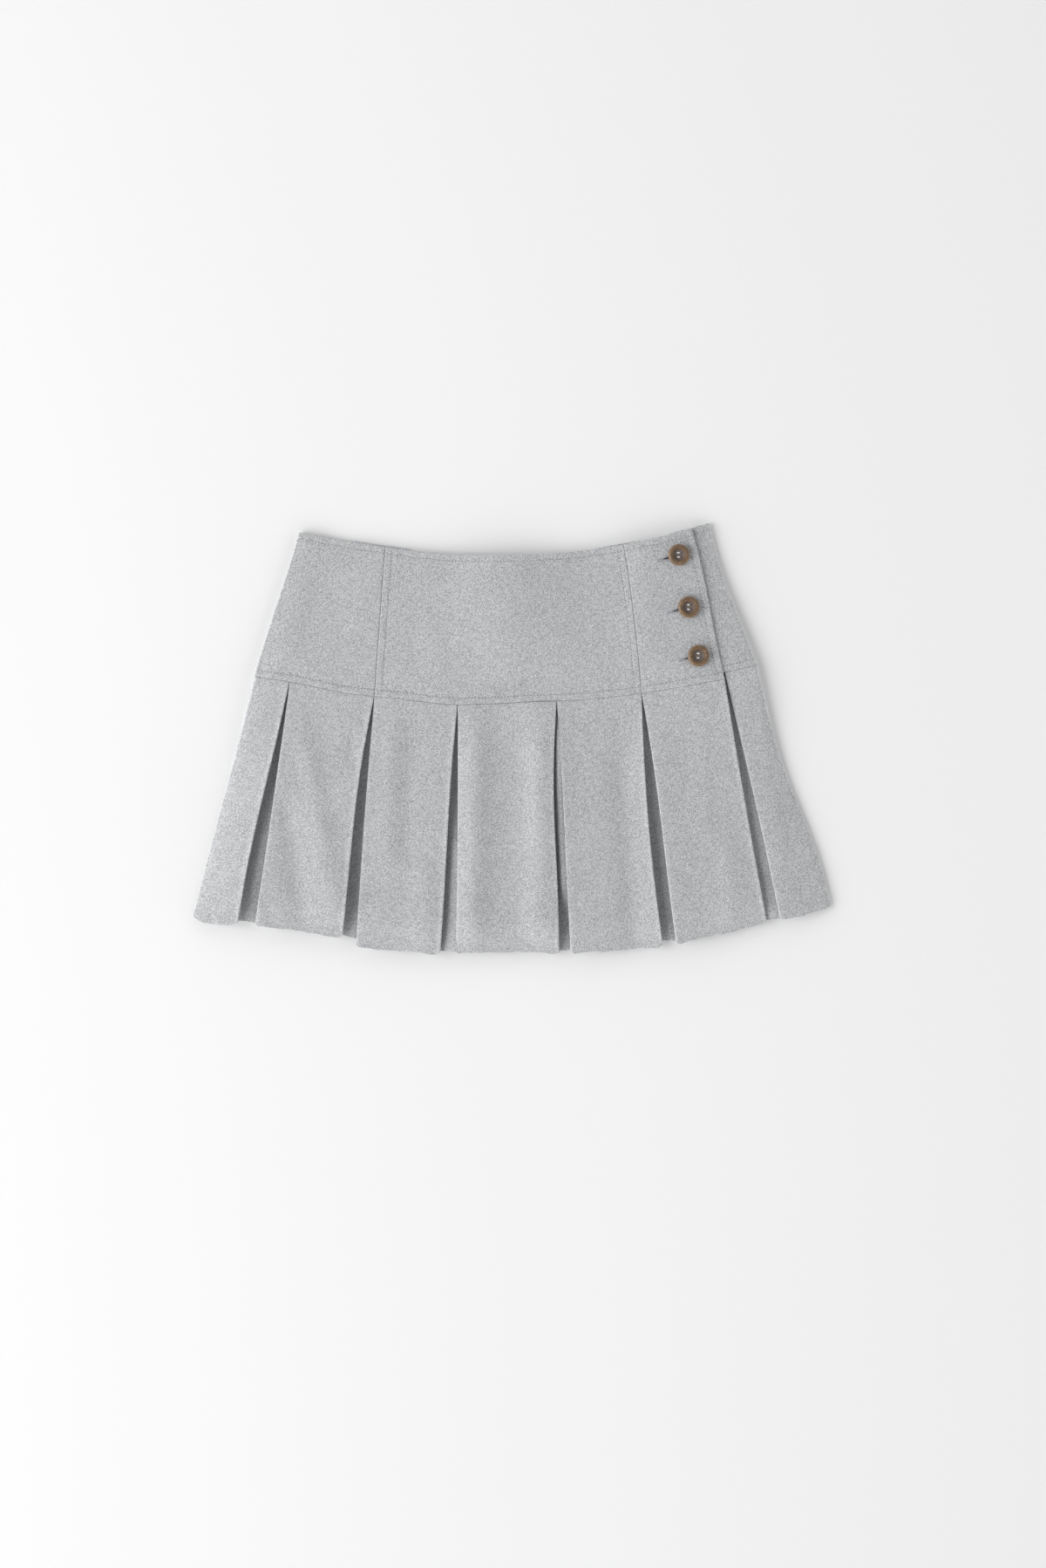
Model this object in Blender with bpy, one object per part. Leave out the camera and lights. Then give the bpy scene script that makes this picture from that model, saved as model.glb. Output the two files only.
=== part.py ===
"""A grey box-pleated mini skirt on a buttoned hip yoke, laid flat with its front up.

Frame: metres, +Z up, +Y towards the waist, +X towards the buttoned side. The origin is on the floor under
the middle of the skirt. Sizes below are in millimetres and are scaled once, when a mesh is made.
"""

import math
from collections import namedtuple

import bmesh
import bpy
from mathutils import Matrix, Vector

MM = 0.001

# ---------------------------------------------------------------- driving dimensions
CLOTH = 1.0            # one thickness of the pleated cloth
YOKE_CLOTH = 1.8       # yoke cloth with its turned-in double
GAP = 0.3              # clear distance between pieces and between folded layers
PITCH = CLOTH + GAP    # height from one folded layer to the next

# The six layers of the laid pleats, from the floor up: heights of their middle planes.
BACK_OUTER, BACK_RETURN, BACK_UNDERLAY, FRONT_UNDERLAY, FRONT_RETURN, FRONT_OUTER = (
    CLOTH / 2 + PITCH * layer for layer in range(6)
)

TURN_RADIUS = PITCH / 2                  # middle line of the cloth where a pleat turns back
EDGE_INSET = TURN_RADIUS + CLOTH / 2     # from a pleat's visible edge to the middle of that turn
RETURN_AT_SEAM = 16.0                    # how far a pleat folds back under its panel, at the yoke
RETURN_AT_HEM = 24.0
PANEL_SAG = 1.7                          # a panel's middle lies lower than its pleated edges
SAG_STARTS = 0.2                         # share of the skirt's length over which the sag sets in
SIDE_ROUNDNESS = 2.0                     # reach of a side fold against its half height
EDGE_STRETCH = 10.0                      # length over which a panel's direction is read at its edges

WAIST_FRONT_MIDDLE = 4.9                 # height of the front yoke's middle plane at the waist
SEAM_FRONT_MIDDLE = FRONT_OUTER + CLOTH / 2 - YOKE_CLOTH / 2   # and at the seam with the pleats
BACK_YOKE_MIDDLE = YOKE_CLOTH / 2
YOKE_ROUNDNESS = 1.5
LAP = YOKE_CLOTH + GAP                   # the placket rides this much higher, over the underlap
LAP_REACH = 36.0                         # how far the underlap runs on below the placket
LAP_FADE = 0.3                           # share of the skirt's length over which the last pleat settles

BUTTON_HOLE_DIAMETER = 1.8
BUTTON_HOLE_SPACING = 4.1                # between neighbouring holes of the four
BUTTON_STANDOFF = 0.5
BUTTON_SEGMENTS = 28

SKIRT_ROWS = (0.0, 0.1, 0.25, 0.45, 0.65, 0.85, 1.0)
YOKE_ROWS = (0.0, 0.25, 0.5, 0.75, 1.0)
BACK_PLEATS = 6
BACK_SIDE_PANEL = 46.0                   # along the yoke seam, from a side fold to the first back pleat
BACK_OPENING = 13.0                      # width of a back pleat's opening at the hem
BACK_UNDERLAY_LIFT = 2.0                 # a back underlay's hem ends this much above the panels'
BACK_WAIST_DROP, BACK_SEAM_DROP = 25.3, 27.0   # how deep these edges of the back hang between the sides

# ---------------------------------------------------------------- outline
# Edges across the skirt, read as smooth lines through x, y.
WAIST = ((-196.0, 189.6), (-127.0, 177.6), (-73.0, 170.6), (-15.0, 168.0), (58.0, 172.0), (110.0, 180.0),
         (163.2, 192.8), (181.6, 198.4))
YOKE_SEAM = ((-236.0, 56.8), (-205.6, 52.5), (-151.0, 41.6), (-103.0, 36.6), (-55.0, 31.4), (9.0, 33.4),
             (62.0, 35.8), (117.6, 41.8), (193.8, 54.7))
UNDERLAP_SEAM = ((117.6, 47.0), (194.4, 61.0), (224.4, 67.4))
BACK_HEM = ((-295.0, -165.5), (-237.0, -169.0), (-157.0, -180.5), (-60.0, -193.5), (45.0, -194.0),
            (150.0, -184.5), (233.0, -166.5), (293.6, -153.5))

# Lines down the garment: straight from top to bottom, but for a bow and a sway to the side.
Line = namedtuple("Line", "top bottom bow sway")

LEFT_SIDE_YOKE = Line((-196.0, 189.6), (-236.0, 56.8), 1.0, 0.0)
LEFT_YOKE_SEAM = Line((-117.8, 176.2), (-127.5, 39.8), 0.0, 0.0)
RIGHT_YOKE_SEAM = Line((101.4, 177.8), (117.6, 41.8), 1.4, 0.0)
UNDERLAP_EDGE = Line((127.2, 185.4), (157.8, 54.3), 0.8, 0.8)
PLACKET_EDGE = Line((163.2, 192.8), (193.8, 54.7), 0.8, 0.8)
RIGHT_SIDE_YOKE = Line((181.6, 198.4), (224.4, 67.4), -4.0, -1.0)

LEFT_SIDE = Line((-236.0, 56.8), (-295.0, -165.5), 5.2, -0.8)
RIGHT_SIDE = Line((224.4, 67.4), (293.6, -153.5), -1.4, -2.4)

# The six front pleats, from left to right: where each starts at the yoke, how its two visible edges run to
# the hem, and how far above the hem of the panels its underlay ends.
Pleat = namedtuple("Pleat", "seam_x left_hem left_bow left_sway right_hem right_bow right_sway underlay_lift")
PLEATS = (
    Pleat(-205.4, (-250.4, -170.3), -4.6, 1.6, (-237.0, -171.5), 0.8, 0.0, 4.0),
    Pleat(-127.7, (-156.8, -183.4), -4.6, -0.8, (-144.4, -191.5), 0.0, 0.0, 4.0),
    Pleat(-51.2, (-67.2, -198.4), -2.6, 0.8, (-52.8, -197.8), 0.8, 0.0, 1.5),
    Pleat(39.8, (43.1, -197.4), -4.0, -1.2, (52.0, -196.8), 1.4, 0.0, 1.5),
    Pleat(117.6, (138.0, -190.6), -4.4, 0.0, (149.2, -187.4), 2.2, 0.6, 3.3),
    Pleat(193.8, (232.8, -167.6), -2.4, 0.0, (244.8, -164.4), 0.8, 0.0, 2.5),
)
PANEL_HEM_SAG = (2.5, -0.8, 0.0, -2.0, -0.6, 0.0, 1.0)   # how far each front panel's hem hangs in its middle

BUTTON_CENTRES = ((151.7, 168.2), (160.8, 120.3), (169.6, 75.8))

LEFTWARD, RIGHTWARD = -1, 1


# ---------------------------------------------------------------- curves and panels
def mix(start, end, share):
    return start + (end - start) * share


def smooth(share):
    """0 to 1 with level ends."""
    share = min(1.0, max(0.0, share))
    return share * share * (3 - 2 * share)


def through(points):
    """y of a smooth curve through the points, as a function of x."""
    def height(x):
        last = len(points) - 2
        i = next((k for k in range(last) if x <= points[k + 1][0]), last)
        (x0, y0), (x1, y1) = points[i], points[i + 1]
        chord = (y1 - y0) / (x1 - x0)
        before = (y0 - points[i - 1][1]) / (x0 - points[i - 1][0]) if i > 0 else chord
        after = (points[i + 2][1] - y1) / (points[i + 2][0] - x1) if i < last else chord
        t = (x - x0) / (x1 - x0)
        leave, arrive = (before - chord) / 2, (after - chord) / 2
        return mix(y0, y1, t) + (x1 - x0) * t * (1 - t) * (leave * (1 - t) - arrive * t)
    return height


def hanging(left, right, drop):
    """y of a shallow arc that hangs between two points, as a function of x."""
    def height(x):
        share = (x - left[0]) / (right[0] - left[0])
        return mix(left[1], right[1], share) - 4 * drop * share * (1 - share)
    return height


def below(curve, distance):
    return lambda x: curve(x) - distance


def bowed(line, v):
    """How far a line stands to the right of straight, a share v of the way down."""
    return line.bow * math.sin(math.pi * v) + line.sway * math.sin(2 * math.pi * v)


class Panel:
    """A panel of cloth in plan, between two lines down the garment and two edges across it."""

    def __init__(self, left, right, top, bottom):
        self.left, self.right, self.top, self.bottom = left, right, top, bottom

    def point(self, share, v):
        top_x = mix(self.left.top[0], self.right.top[0], share)
        bottom_x = mix(self.left.bottom[0], self.right.bottom[0], share)
        top, bottom = Vector((top_x, self.top(top_x))), Vector((bottom_x, self.bottom(bottom_x)))
        plan = top.lerp(bottom, v)
        plan.x += mix(bowed(self.left, v), bowed(self.right, v), share)
        return plan

    def row(self, v):
        return Row(self, v)


class Row:
    """One row across a panel, a share v of the way down it."""

    def __init__(self, panel, v):
        self.panel, self.v = panel, v
        self.width = (panel.point(1, v) - panel.point(0, v)).length
        near = EDGE_STRETCH / self.width
        self.from_left_edge = (panel.point(near, v) - panel.point(0, v)).normalized()
        self.to_right_edge = (panel.point(1, v) - panel.point(1 - near, v)).normalized()

    def at(self, distance):
        """Plan point at a distance from the left edge."""
        return self.panel.point(distance / self.width, self.v)

    def from_right(self, distance):
        return self.at(self.width - distance)


# ---------------------------------------------------------------- strips of cloth
class Section:
    """One cross-section of a strip of cloth: points of its middle line, each with the way to one face."""

    def __init__(self):
        self.points = []

    def add(self, plan, z, along, side, up):
        normal = Vector((along.x * side, along.y * side, up)).normalized()
        self.points.append((Vector((plan.x, plan.y, z)), normal))

    def layer(self, plans, heights, heading):
        """A stretch that lies flat, heading right or left."""
        for plan, z in zip(plans, heights):
            self.points.append((Vector((plan.x, plan.y, z)), Vector((0, 0, heading))))

    def turn(self, start, end, along, bulge, z_from, z_to, reach, steps=3):
        """A fold bulging right (1) or left (-1) between the ends of two layers, without those two points."""
        middle, half = (z_from + z_to) / 2, (z_from - z_to) / 2
        down = math.copysign(1, half)
        for step in range(1, steps):
            angle = math.pi * step / steps
            out, rise = math.sin(angle), math.cos(angle)
            plan = start.lerp(end, (1 - rise) / 2) + along * bulge * reach * out
            self.add(plan, middle + half * rise, along, down * out * abs(half) / reach, bulge * rise)


def strip(name, sections, wall, material):
    """A closed solid from the cross-sections down a strip of cloth, all with the same number of points."""
    shape = bmesh.new()
    rows = []
    for section in sections:
        rows.append([[shape.verts.new((point + normal * wall * way) * MM) for point, normal in section.points]
                     for way in (0.5, -0.5)])
    last = len(rows[0][0]) - 1
    for (front, back), (next_front, next_back) in zip(rows, rows[1:]):
        for i in range(last):
            shape.faces.new((front[i], next_front[i], next_front[i + 1], front[i + 1]))
            shape.faces.new((back[i], back[i + 1], next_back[i + 1], next_back[i]))
        shape.faces.new((front[0], back[0], next_back[0], next_front[0]))
        shape.faces.new((front[last], next_front[last], next_back[last], back[last]))
    for i in range(last):
        front, back = rows[0]
        shape.faces.new((front[i], front[i + 1], back[i + 1], back[i]))
        front, back = rows[-1]
        shape.faces.new((front[i], back[i], back[i + 1], front[i + 1]))
    bmesh.ops.recalc_face_normals(shape, faces=shape.faces)
    return solid(name, shape, material)


def solid(name, shape, material):
    """A named object from a bmesh in metres."""
    mesh = bpy.data.meshes.new(name)
    shape.to_mesh(mesh)
    shape.free()
    mesh.shade_smooth()
    mesh.set_sharp_from_angle(angle=math.radians(50))
    mesh.materials.append(material)
    piece = bpy.data.objects.new(name, mesh)
    bpy.context.collection.objects.link(piece)
    return piece


def plain_material(name, color, roughness):
    material = bpy.data.materials.new(name)
    material.use_nodes = True
    shader = material.node_tree.nodes["Principled BSDF"]
    shader.inputs["Base Color"].default_value = (*color, 1.0)
    shader.inputs["Roughness"].default_value = roughness
    shader.inputs["Metallic"].default_value = 0.0
    material.diffuse_color = (*color, 1.0)
    return material


# ---------------------------------------------------------------- the pleated skirt
def front_panels():
    """The seven front panels from left to right. The last hangs from the underlap, whose seam lies higher."""
    yoke_seam, underlap_seam = below(through(YOKE_SEAM), GAP), below(through(UNDERLAP_SEAM), GAP)
    lefts, rights = [LEFT_SIDE], []
    for pleat in PLEATS:
        top = (pleat.seam_x, yoke_seam(pleat.seam_x))
        rights.append(Line(top, pleat.left_hem, pleat.left_bow, pleat.left_sway))
        lefts.append(Line(top, pleat.right_hem, pleat.right_bow, pleat.right_sway))
    rights.append(RIGHT_SIDE)
    panels = []
    for left, right, sag in zip(lefts, rights, PANEL_HEM_SAG):
        seam = underlap_seam if right is RIGHT_SIDE else yoke_seam
        panels.append(Panel(left, right, seam, hanging(left.bottom, right.bottom, sag)))
    return panels


def back_panels():
    """The seven back panels from right to left, with the same width between every two pleats."""
    seam = below(hanging(LEFT_SIDE.top, RIGHT_SIDE.top, BACK_SEAM_DROP), GAP)
    hem = through(BACK_HEM)
    side_share = BACK_SIDE_PANEL / (RIGHT_SIDE.top[0] - LEFT_SIDE.top[0])
    lefts, rights = [], [RIGHT_SIDE]
    for k in range(BACK_PLEATS):
        share = mix(1 - side_share, side_share, k / (BACK_PLEATS - 1))
        top = (mix(LEFT_SIDE.top[0], RIGHT_SIDE.top[0], share), 0)
        hem_x = mix(LEFT_SIDE.bottom[0], RIGHT_SIDE.bottom[0], share)
        bow = mix(LEFT_SIDE.bow, RIGHT_SIDE.bow, share)
        lefts.append(Line(top, (hem_x + BACK_OPENING / 2, 0), bow + 1.5, 0.0))
        rights.append(Line(top, (hem_x - BACK_OPENING / 2, 0), bow - 1.5, 0.0))
    lefts.append(LEFT_SIDE)
    return [Panel(left, right, seam, hem) for left, right in zip(lefts, rights)]


FRONT_PANELS, BACK_PANELS = front_panels(), back_panels()


def return_depth(v):
    return mix(RETURN_AT_SEAM, RETURN_AT_HEM, v)


def sag_at(place, width, v):
    """How far a front panel has sunk at a place across it: only between the folds that lie below it."""
    flat = return_depth(v) + EDGE_INSET
    inner = max(1.0, width / 2 - flat)
    return PANEL_SAG * smooth(v / SAG_STARTS) * smooth((min(place, width - place) - flat) / inner)


def lap_at(place, width, v):
    """How far the placket, and the top of the panel sewn to it, ride over the underlap."""
    return LAP * smooth(place / (width - LAP_REACH - 2.0)) * (1 - smooth(v / LAP_FADE))


def across_panel(row, first, last):
    """Places across a panel's outer layer, among them where a panel between two pleats starts to sag."""
    flat, middle = return_depth(row.v) + EDGE_INSET, row.width / 2
    is_side_panel = first + row.width - last > 2 * EDGE_INSET + GAP
    if is_side_panel:
        return [mix(first, last, share) for share in (0.0, 0.33, 0.67, 1.0)]
    far = row.width - flat
    return [first, flat, mix(flat, middle, 0.5), middle, mix(far, middle, 0.5), far, last]


def front_outer(section, row, first, last, lap=False):
    """A front panel's outer layer, from left to right."""
    places = across_panel(row, first, last)
    heights = [FRONT_OUTER - sag_at(place, row.width, row.v) for place in places]
    if lap:
        heights = [z + lap_at(place, row.width, row.v) for z, place in zip(heights, places)]
    section.layer([row.at(place) for place in places], heights, RIGHTWARD)


def back_outer(section, row, first, last):
    """A back panel's outer layer, from right to left, flat on the floor."""
    places = across_panel(row, first, last)[::-1]
    section.layer([row.at(place) for place in places], [BACK_OUTER] * len(places), LEFTWARD)


def hidden_fold(row, lift, side):
    """The middle of a pleat's hidden fold below the left or right of a panel, lifted towards the hem."""
    place = row.at(return_depth(row.v)) if side == LEFTWARD else row.from_right(return_depth(row.v))
    return place + Vector((0, lift * row.v))


def straight(section, start, end, z, heading, steps):
    plans = [start.lerp(end, step / steps) for step in range(steps + 1)]
    section.layer(plans, [z] * len(plans), heading)


def underlay(section, start, end, z, heading):
    straight(section, start, end, z, heading, steps=4)


def front_fold_out(section, row, lift):
    """From the underlay, up round the hidden fold and the return to the left edge of the next panel."""
    hidden, edge = hidden_fold(row, lift, LEFTWARD), row.at(EDGE_INSET)
    section.turn(hidden, hidden, row.from_left_edge, RIGHTWARD, FRONT_UNDERLAY, FRONT_RETURN, TURN_RADIUS)
    straight(section, hidden, edge, FRONT_RETURN, LEFTWARD, steps=2)
    section.turn(edge, edge, row.from_left_edge, LEFTWARD, FRONT_RETURN, FRONT_OUTER, TURN_RADIUS)


def front_fold_in(section, row, lift, lap=False):
    """From a panel's right edge, down round its fold and along the return to the hidden fold."""
    hidden, edge = hidden_fold(row, lift, RIGHTWARD), row.from_right(EDGE_INSET)
    rises = [0.0, 0.0, 0.0]
    if lap:
        distances = (EDGE_INSET, mix(EDGE_INSET, return_depth(row.v), 0.5), return_depth(row.v))
        rises = [lap_at(row.width - distance, row.width, row.v) for distance in distances]
    section.turn(edge, edge, row.to_right_edge, RIGHTWARD,
                 FRONT_OUTER + rises[0], FRONT_RETURN + rises[0], TURN_RADIUS)
    heights = [FRONT_RETURN + rise for rise in rises]
    section.layer([edge, edge.lerp(hidden, 0.5), hidden], heights, LEFTWARD)
    return hidden


def back_fold_in(section, row):
    """From a back panel's left edge, up round its fold and along the return to the hidden fold."""
    hidden, edge = hidden_fold(row, BACK_UNDERLAY_LIFT, LEFTWARD), row.at(EDGE_INSET)
    section.turn(edge, edge, row.from_left_edge, LEFTWARD, BACK_OUTER, BACK_RETURN, TURN_RADIUS)
    straight(section, edge, hidden, BACK_RETURN, RIGHTWARD, steps=2)
    return hidden


def back_fold_out(section, row):
    """From the hidden fold along the return to a back panel's right edge, and down to its outer layer."""
    hidden, edge = hidden_fold(row, BACK_UNDERLAY_LIFT, RIGHTWARD), row.from_right(EDGE_INSET)
    straight(section, hidden, edge, BACK_RETURN, RIGHTWARD, steps=2)
    section.turn(edge, edge, row.to_right_edge, RIGHTWARD, BACK_RETURN, BACK_OUTER, TURN_RADIUS)


SIDE_REACH = SIDE_ROUNDNESS * (FRONT_OUTER - BACK_OUTER) / 2
SIDE_INSET = SIDE_REACH + CLOTH / 2      # from a side's outline to where the layers lie flat


def skirt_front_section(v):
    """From the hidden side seam in the last back pleat, round the left side and over the front panels."""
    section = Section()
    last_back, row = BACK_PANELS[-1].row(v), FRONT_PANELS[0].row(v)
    back_fold_out(section, last_back)
    back_outer(section, last_back, SIDE_INSET, last_back.width - EDGE_INSET)
    outward = (last_back.from_left_edge + row.from_left_edge).normalized()
    section.turn(last_back.at(SIDE_INSET), row.at(SIDE_INSET), outward, LEFTWARD,
                 BACK_OUTER, FRONT_OUTER, SIDE_REACH, steps=7)
    front_outer(section, row, SIDE_INSET, row.width - EDGE_INSET)
    for pleat, panel in zip(PLEATS, FRONT_PANELS[1:-1]):
        hidden = front_fold_in(section, row, pleat.underlay_lift)
        row = panel.row(v)
        section.turn(hidden, hidden, row.from_left_edge, LEFTWARD, FRONT_RETURN, FRONT_UNDERLAY, TURN_RADIUS)
        underlay(section, hidden, hidden_fold(row, pleat.underlay_lift, LEFTWARD), FRONT_UNDERLAY, RIGHTWARD)
        front_fold_out(section, row, pleat.underlay_lift)
        front_outer(section, row, EDGE_INSET, row.width - EDGE_INSET, lap=panel is FRONT_PANELS[-2])
    front_fold_in(section, row, PLEATS[-1].underlay_lift, lap=True)
    return section


def skirt_back_section(v):
    """From the underlay of the last front pleat, over the last front panel and round the right side."""
    section = Section()
    lift = PLEATS[-1].underlay_lift
    before, row, back = FRONT_PANELS[-2].row(v), FRONT_PANELS[-1].row(v), BACK_PANELS[0].row(v)
    underlay(section, hidden_fold(before, lift, RIGHTWARD), hidden_fold(row, lift, LEFTWARD),
             FRONT_UNDERLAY, RIGHTWARD)
    front_fold_out(section, row, lift)
    front_outer(section, row, EDGE_INSET, row.width - SIDE_INSET)
    outward = (row.to_right_edge + back.to_right_edge).normalized()
    section.turn(row.from_right(SIDE_INSET), back.from_right(SIDE_INSET), outward, RIGHTWARD,
                 FRONT_OUTER, BACK_OUTER, SIDE_REACH, steps=7)
    back_outer(section, back, EDGE_INSET, back.width - SIDE_INSET)
    for panel in BACK_PANELS[1:]:
        hidden = back_fold_in(section, back)
        back = panel.row(v)
        section.turn(hidden, hidden, back.to_right_edge, RIGHTWARD, BACK_RETURN, BACK_UNDERLAY, TURN_RADIUS)
        beyond = hidden_fold(back, BACK_UNDERLAY_LIFT, RIGHTWARD)
        underlay(section, hidden, beyond, BACK_UNDERLAY, LEFTWARD)
        if panel is BACK_PANELS[-1]:
            break
        section.turn(beyond, beyond, back.to_right_edge, LEFTWARD, BACK_UNDERLAY, BACK_RETURN, TURN_RADIUS)
        back_fold_out(section, back)
        back_outer(section, back, EDGE_INSET, back.width - EDGE_INSET)
    return section


# ---------------------------------------------------------------- the yoke
YOKE_LEFT = Panel(LEFT_SIDE_YOKE, LEFT_YOKE_SEAM, through(WAIST), through(YOKE_SEAM))
YOKE_CENTRE = Panel(LEFT_YOKE_SEAM, RIGHT_YOKE_SEAM, through(WAIST), through(YOKE_SEAM))
YOKE_PLACKET = Panel(RIGHT_YOKE_SEAM, PLACKET_EDGE, through(WAIST), through(YOKE_SEAM))
UNDERLAP = Panel(UNDERLAP_EDGE, RIGHT_SIDE_YOKE, hanging(UNDERLAP_EDGE.top, RIGHT_SIDE_YOKE.top, 0.0),
                 through(UNDERLAP_SEAM))
YOKE_BACK = Panel(LEFT_SIDE_YOKE, RIGHT_SIDE_YOKE,
                  hanging(LEFT_SIDE_YOKE.top, RIGHT_SIDE_YOKE.top, BACK_WAIST_DROP),
                  hanging(LEFT_SIDE_YOKE.bottom, RIGHT_SIDE_YOKE.bottom, BACK_SEAM_DROP))


def yoke_middle(v):
    """Height of the front yoke's middle plane, from the waist down to the pleats."""
    return mix(WAIST_FRONT_MIDDLE, SEAM_FRONT_MIDDLE, smooth(v))


def half_side(section, row, z_tip, z_flat, way, steps=4):
    """Half of the left side's fold, from the side seam at its tip to where the cloth lies flat."""
    half = abs(z_flat - z_tip)
    reach = YOKE_ROUNDNESS * half
    centre = row.at(reach + YOKE_CLOTH / 2)
    for step in range(steps):
        angle = math.pi / 2 * step / steps
        out, rise = math.cos(angle), math.sin(angle)
        section.add(centre - row.from_left_edge * reach * out, mix(z_tip, z_flat, rise), row.from_left_edge,
                    -way * out * half / reach, rise)
    return reach + YOKE_CLOTH / 2


def yoke_layer(section, row, first, last, height, heading, steps):
    """A flat stretch of yoke cloth. Its height is a function of the place across the panel."""
    places = [mix(first, last, step / steps) for step in range(steps + 1)]
    section.layer([row.at(place) for place in places], [height(place) for place in places], heading)


def yoke_left_section(v):
    section, row, middle = Section(), YOKE_LEFT.row(v), yoke_middle(v)
    tip = (middle + BACK_YOKE_MIDDLE) / 2 + GAP / 2
    first = half_side(section, row, tip, middle, 1)
    yoke_layer(section, row, first, row.width - GAP / 2, lambda place: middle, RIGHTWARD, steps=4)
    return section


def yoke_centre_section(v):
    section, row = Section(), YOKE_CENTRE.row(v)
    yoke_layer(section, row, GAP / 2, row.width - GAP / 2, lambda place: yoke_middle(v), RIGHTWARD, steps=8)
    return section


def yoke_placket_section(v):
    """The buttoned panel, which rises to ride over the underlap."""
    section, row = Section(), YOKE_PLACKET.row(v)
    yoke_layer(section, row, GAP / 2, row.width, lambda place: yoke_middle(v) + lap_at(place, row.width, 0),
               RIGHTWARD, steps=8)
    return section


def yoke_back_section(v):
    """The back yoke on the floor, folded round the right side into the underlap below the placket."""
    section, row, lap, middle = Section(), YOKE_BACK.row(v), UNDERLAP.row(v), yoke_middle(v)
    tip = (middle + BACK_YOKE_MIDDLE) / 2 - GAP / 2
    first = half_side(section, row, tip, BACK_YOKE_MIDDLE, -1)
    reach = YOKE_ROUNDNESS * (middle - BACK_YOKE_MIDDLE) / 2
    inset = reach + YOKE_CLOTH / 2
    yoke_layer(section, row, first, row.width - inset, lambda place: BACK_YOKE_MIDDLE, RIGHTWARD, steps=12)
    outward = (row.to_right_edge + lap.to_right_edge).normalized()
    section.turn(row.from_right(inset), lap.from_right(inset), outward, RIGHTWARD,
                 BACK_YOKE_MIDDLE, middle, reach, steps=7)
    yoke_layer(section, lap, lap.width - inset, 0.0, lambda place: middle, LEFTWARD, steps=5)
    return section


# ---------------------------------------------------------------- buttons
# Half of the cut face of a 20 mm button, from the middle of its underside round the rim to its well.
BUTTON_PROFILE = ((0.0, 0.0), (8.2, 0.0), (9.6, 0.5), (10.0, 1.5), (9.8, 2.7), (9.0, 3.4), (8.0, 3.6),
                  (6.9, 3.3), (5.9, 2.6), (5.0, 2.3), (0.0, 2.3))


def turned_button(material):
    """A round button with a raised rim, standing on the origin."""
    shape = bmesh.new()
    profile = [shape.verts.new((radius * MM, 0, height * MM)) for radius, height in BUTTON_PROFILE]
    edges = [shape.edges.new(pair) for pair in zip(profile, profile[1:])]
    bmesh.ops.spin(shape, geom=profile + edges, cent=(0, 0, 0), axis=(0, 0, 1), angle=math.tau,
                   steps=BUTTON_SEGMENTS, use_merge=False)
    bmesh.ops.remove_doubles(shape, verts=shape.verts, dist=1e-6)
    bmesh.ops.recalc_face_normals(shape, faces=shape.faces)
    return solid("turned_button", shape, material)


def sewing_pins(material):
    """Four pins in a square, in the places of the sewing holes."""
    shape = bmesh.new()
    half = BUTTON_HOLE_SPACING / 2 * MM
    radius = BUTTON_HOLE_DIAMETER / 2 * MM
    for x, y in ((-half, -half), (half, -half), (half, half), (-half, half)):
        bmesh.ops.create_cone(shape, cap_ends=True, segments=12, radius1=radius, radius2=radius,
                              depth=4 * BUTTON_HOLE_SPACING * MM, matrix=Matrix.Translation((x, y, 0)))
    return solid("sewing_pins", shape, material)


def button_mesh(material):
    """The button with its four holes, as one mesh that every button shares."""
    button, pins = turned_button(material), sewing_pins(material)
    cut = button.modifiers.new("sewing holes", "BOOLEAN")
    cut.object = pins
    cut.operation = "DIFFERENCE"
    mesh = bpy.data.meshes.new_from_object(button.evaluated_get(bpy.context.evaluated_depsgraph_get()))
    mesh.name = "button"
    for helper in (button, pins):
        bpy.data.objects.remove(helper)
    return mesh


def placket_top(y):
    """Height of the placket's face at y, and how steeply it rises towards the pleats."""
    length = PLACKET_EDGE.top[1] - PLACKET_EDGE.bottom[1]
    v = (PLACKET_EDGE.top[1] - y) / length
    step = 0.01
    slope = (yoke_middle(v + step) - yoke_middle(v - step)) / (2 * step * length)
    return yoke_middle(v) + LAP + YOKE_CLOTH / 2, slope


def add_buttons(material):
    mesh = button_mesh(material)
    for number, (x, y) in enumerate(BUTTON_CENTRES, start=1):
        top, slope = placket_top(y)
        button = bpy.data.objects.new(f"button_{number}", mesh)
        bpy.context.collection.objects.link(button)
        button.location = Vector((x, y, top + BUTTON_STANDOFF)) * MM
        button.rotation_euler = (-math.atan(slope), 0, 0)


# ---------------------------------------------------------------- the skirt
for leftover in list(bpy.data.objects):
    bpy.data.objects.remove(leftover)

pleated_wool = plain_material("pleated wool", (0.47, 0.475, 0.49), 0.95)
yoke_wool = plain_material("yoke wool", (0.44, 0.445, 0.46), 0.95)
horn = plain_material("brown horn", (0.16, 0.105, 0.065), 0.45)

strip("skirt_front", [skirt_front_section(v) for v in SKIRT_ROWS], CLOTH, pleated_wool)
strip("skirt_back", [skirt_back_section(v) for v in SKIRT_ROWS], CLOTH, pleated_wool)
strip("yoke_back", [yoke_back_section(v) for v in YOKE_ROWS], YOKE_CLOTH, yoke_wool)
strip("yoke_front_left", [yoke_left_section(v) for v in YOKE_ROWS], YOKE_CLOTH, yoke_wool)
strip("yoke_front_centre", [yoke_centre_section(v) for v in YOKE_ROWS], YOKE_CLOTH, yoke_wool)
strip("yoke_front_placket", [yoke_placket_section(v) for v in YOKE_ROWS], YOKE_CLOTH, yoke_wool)
add_buttons(horn)
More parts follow.
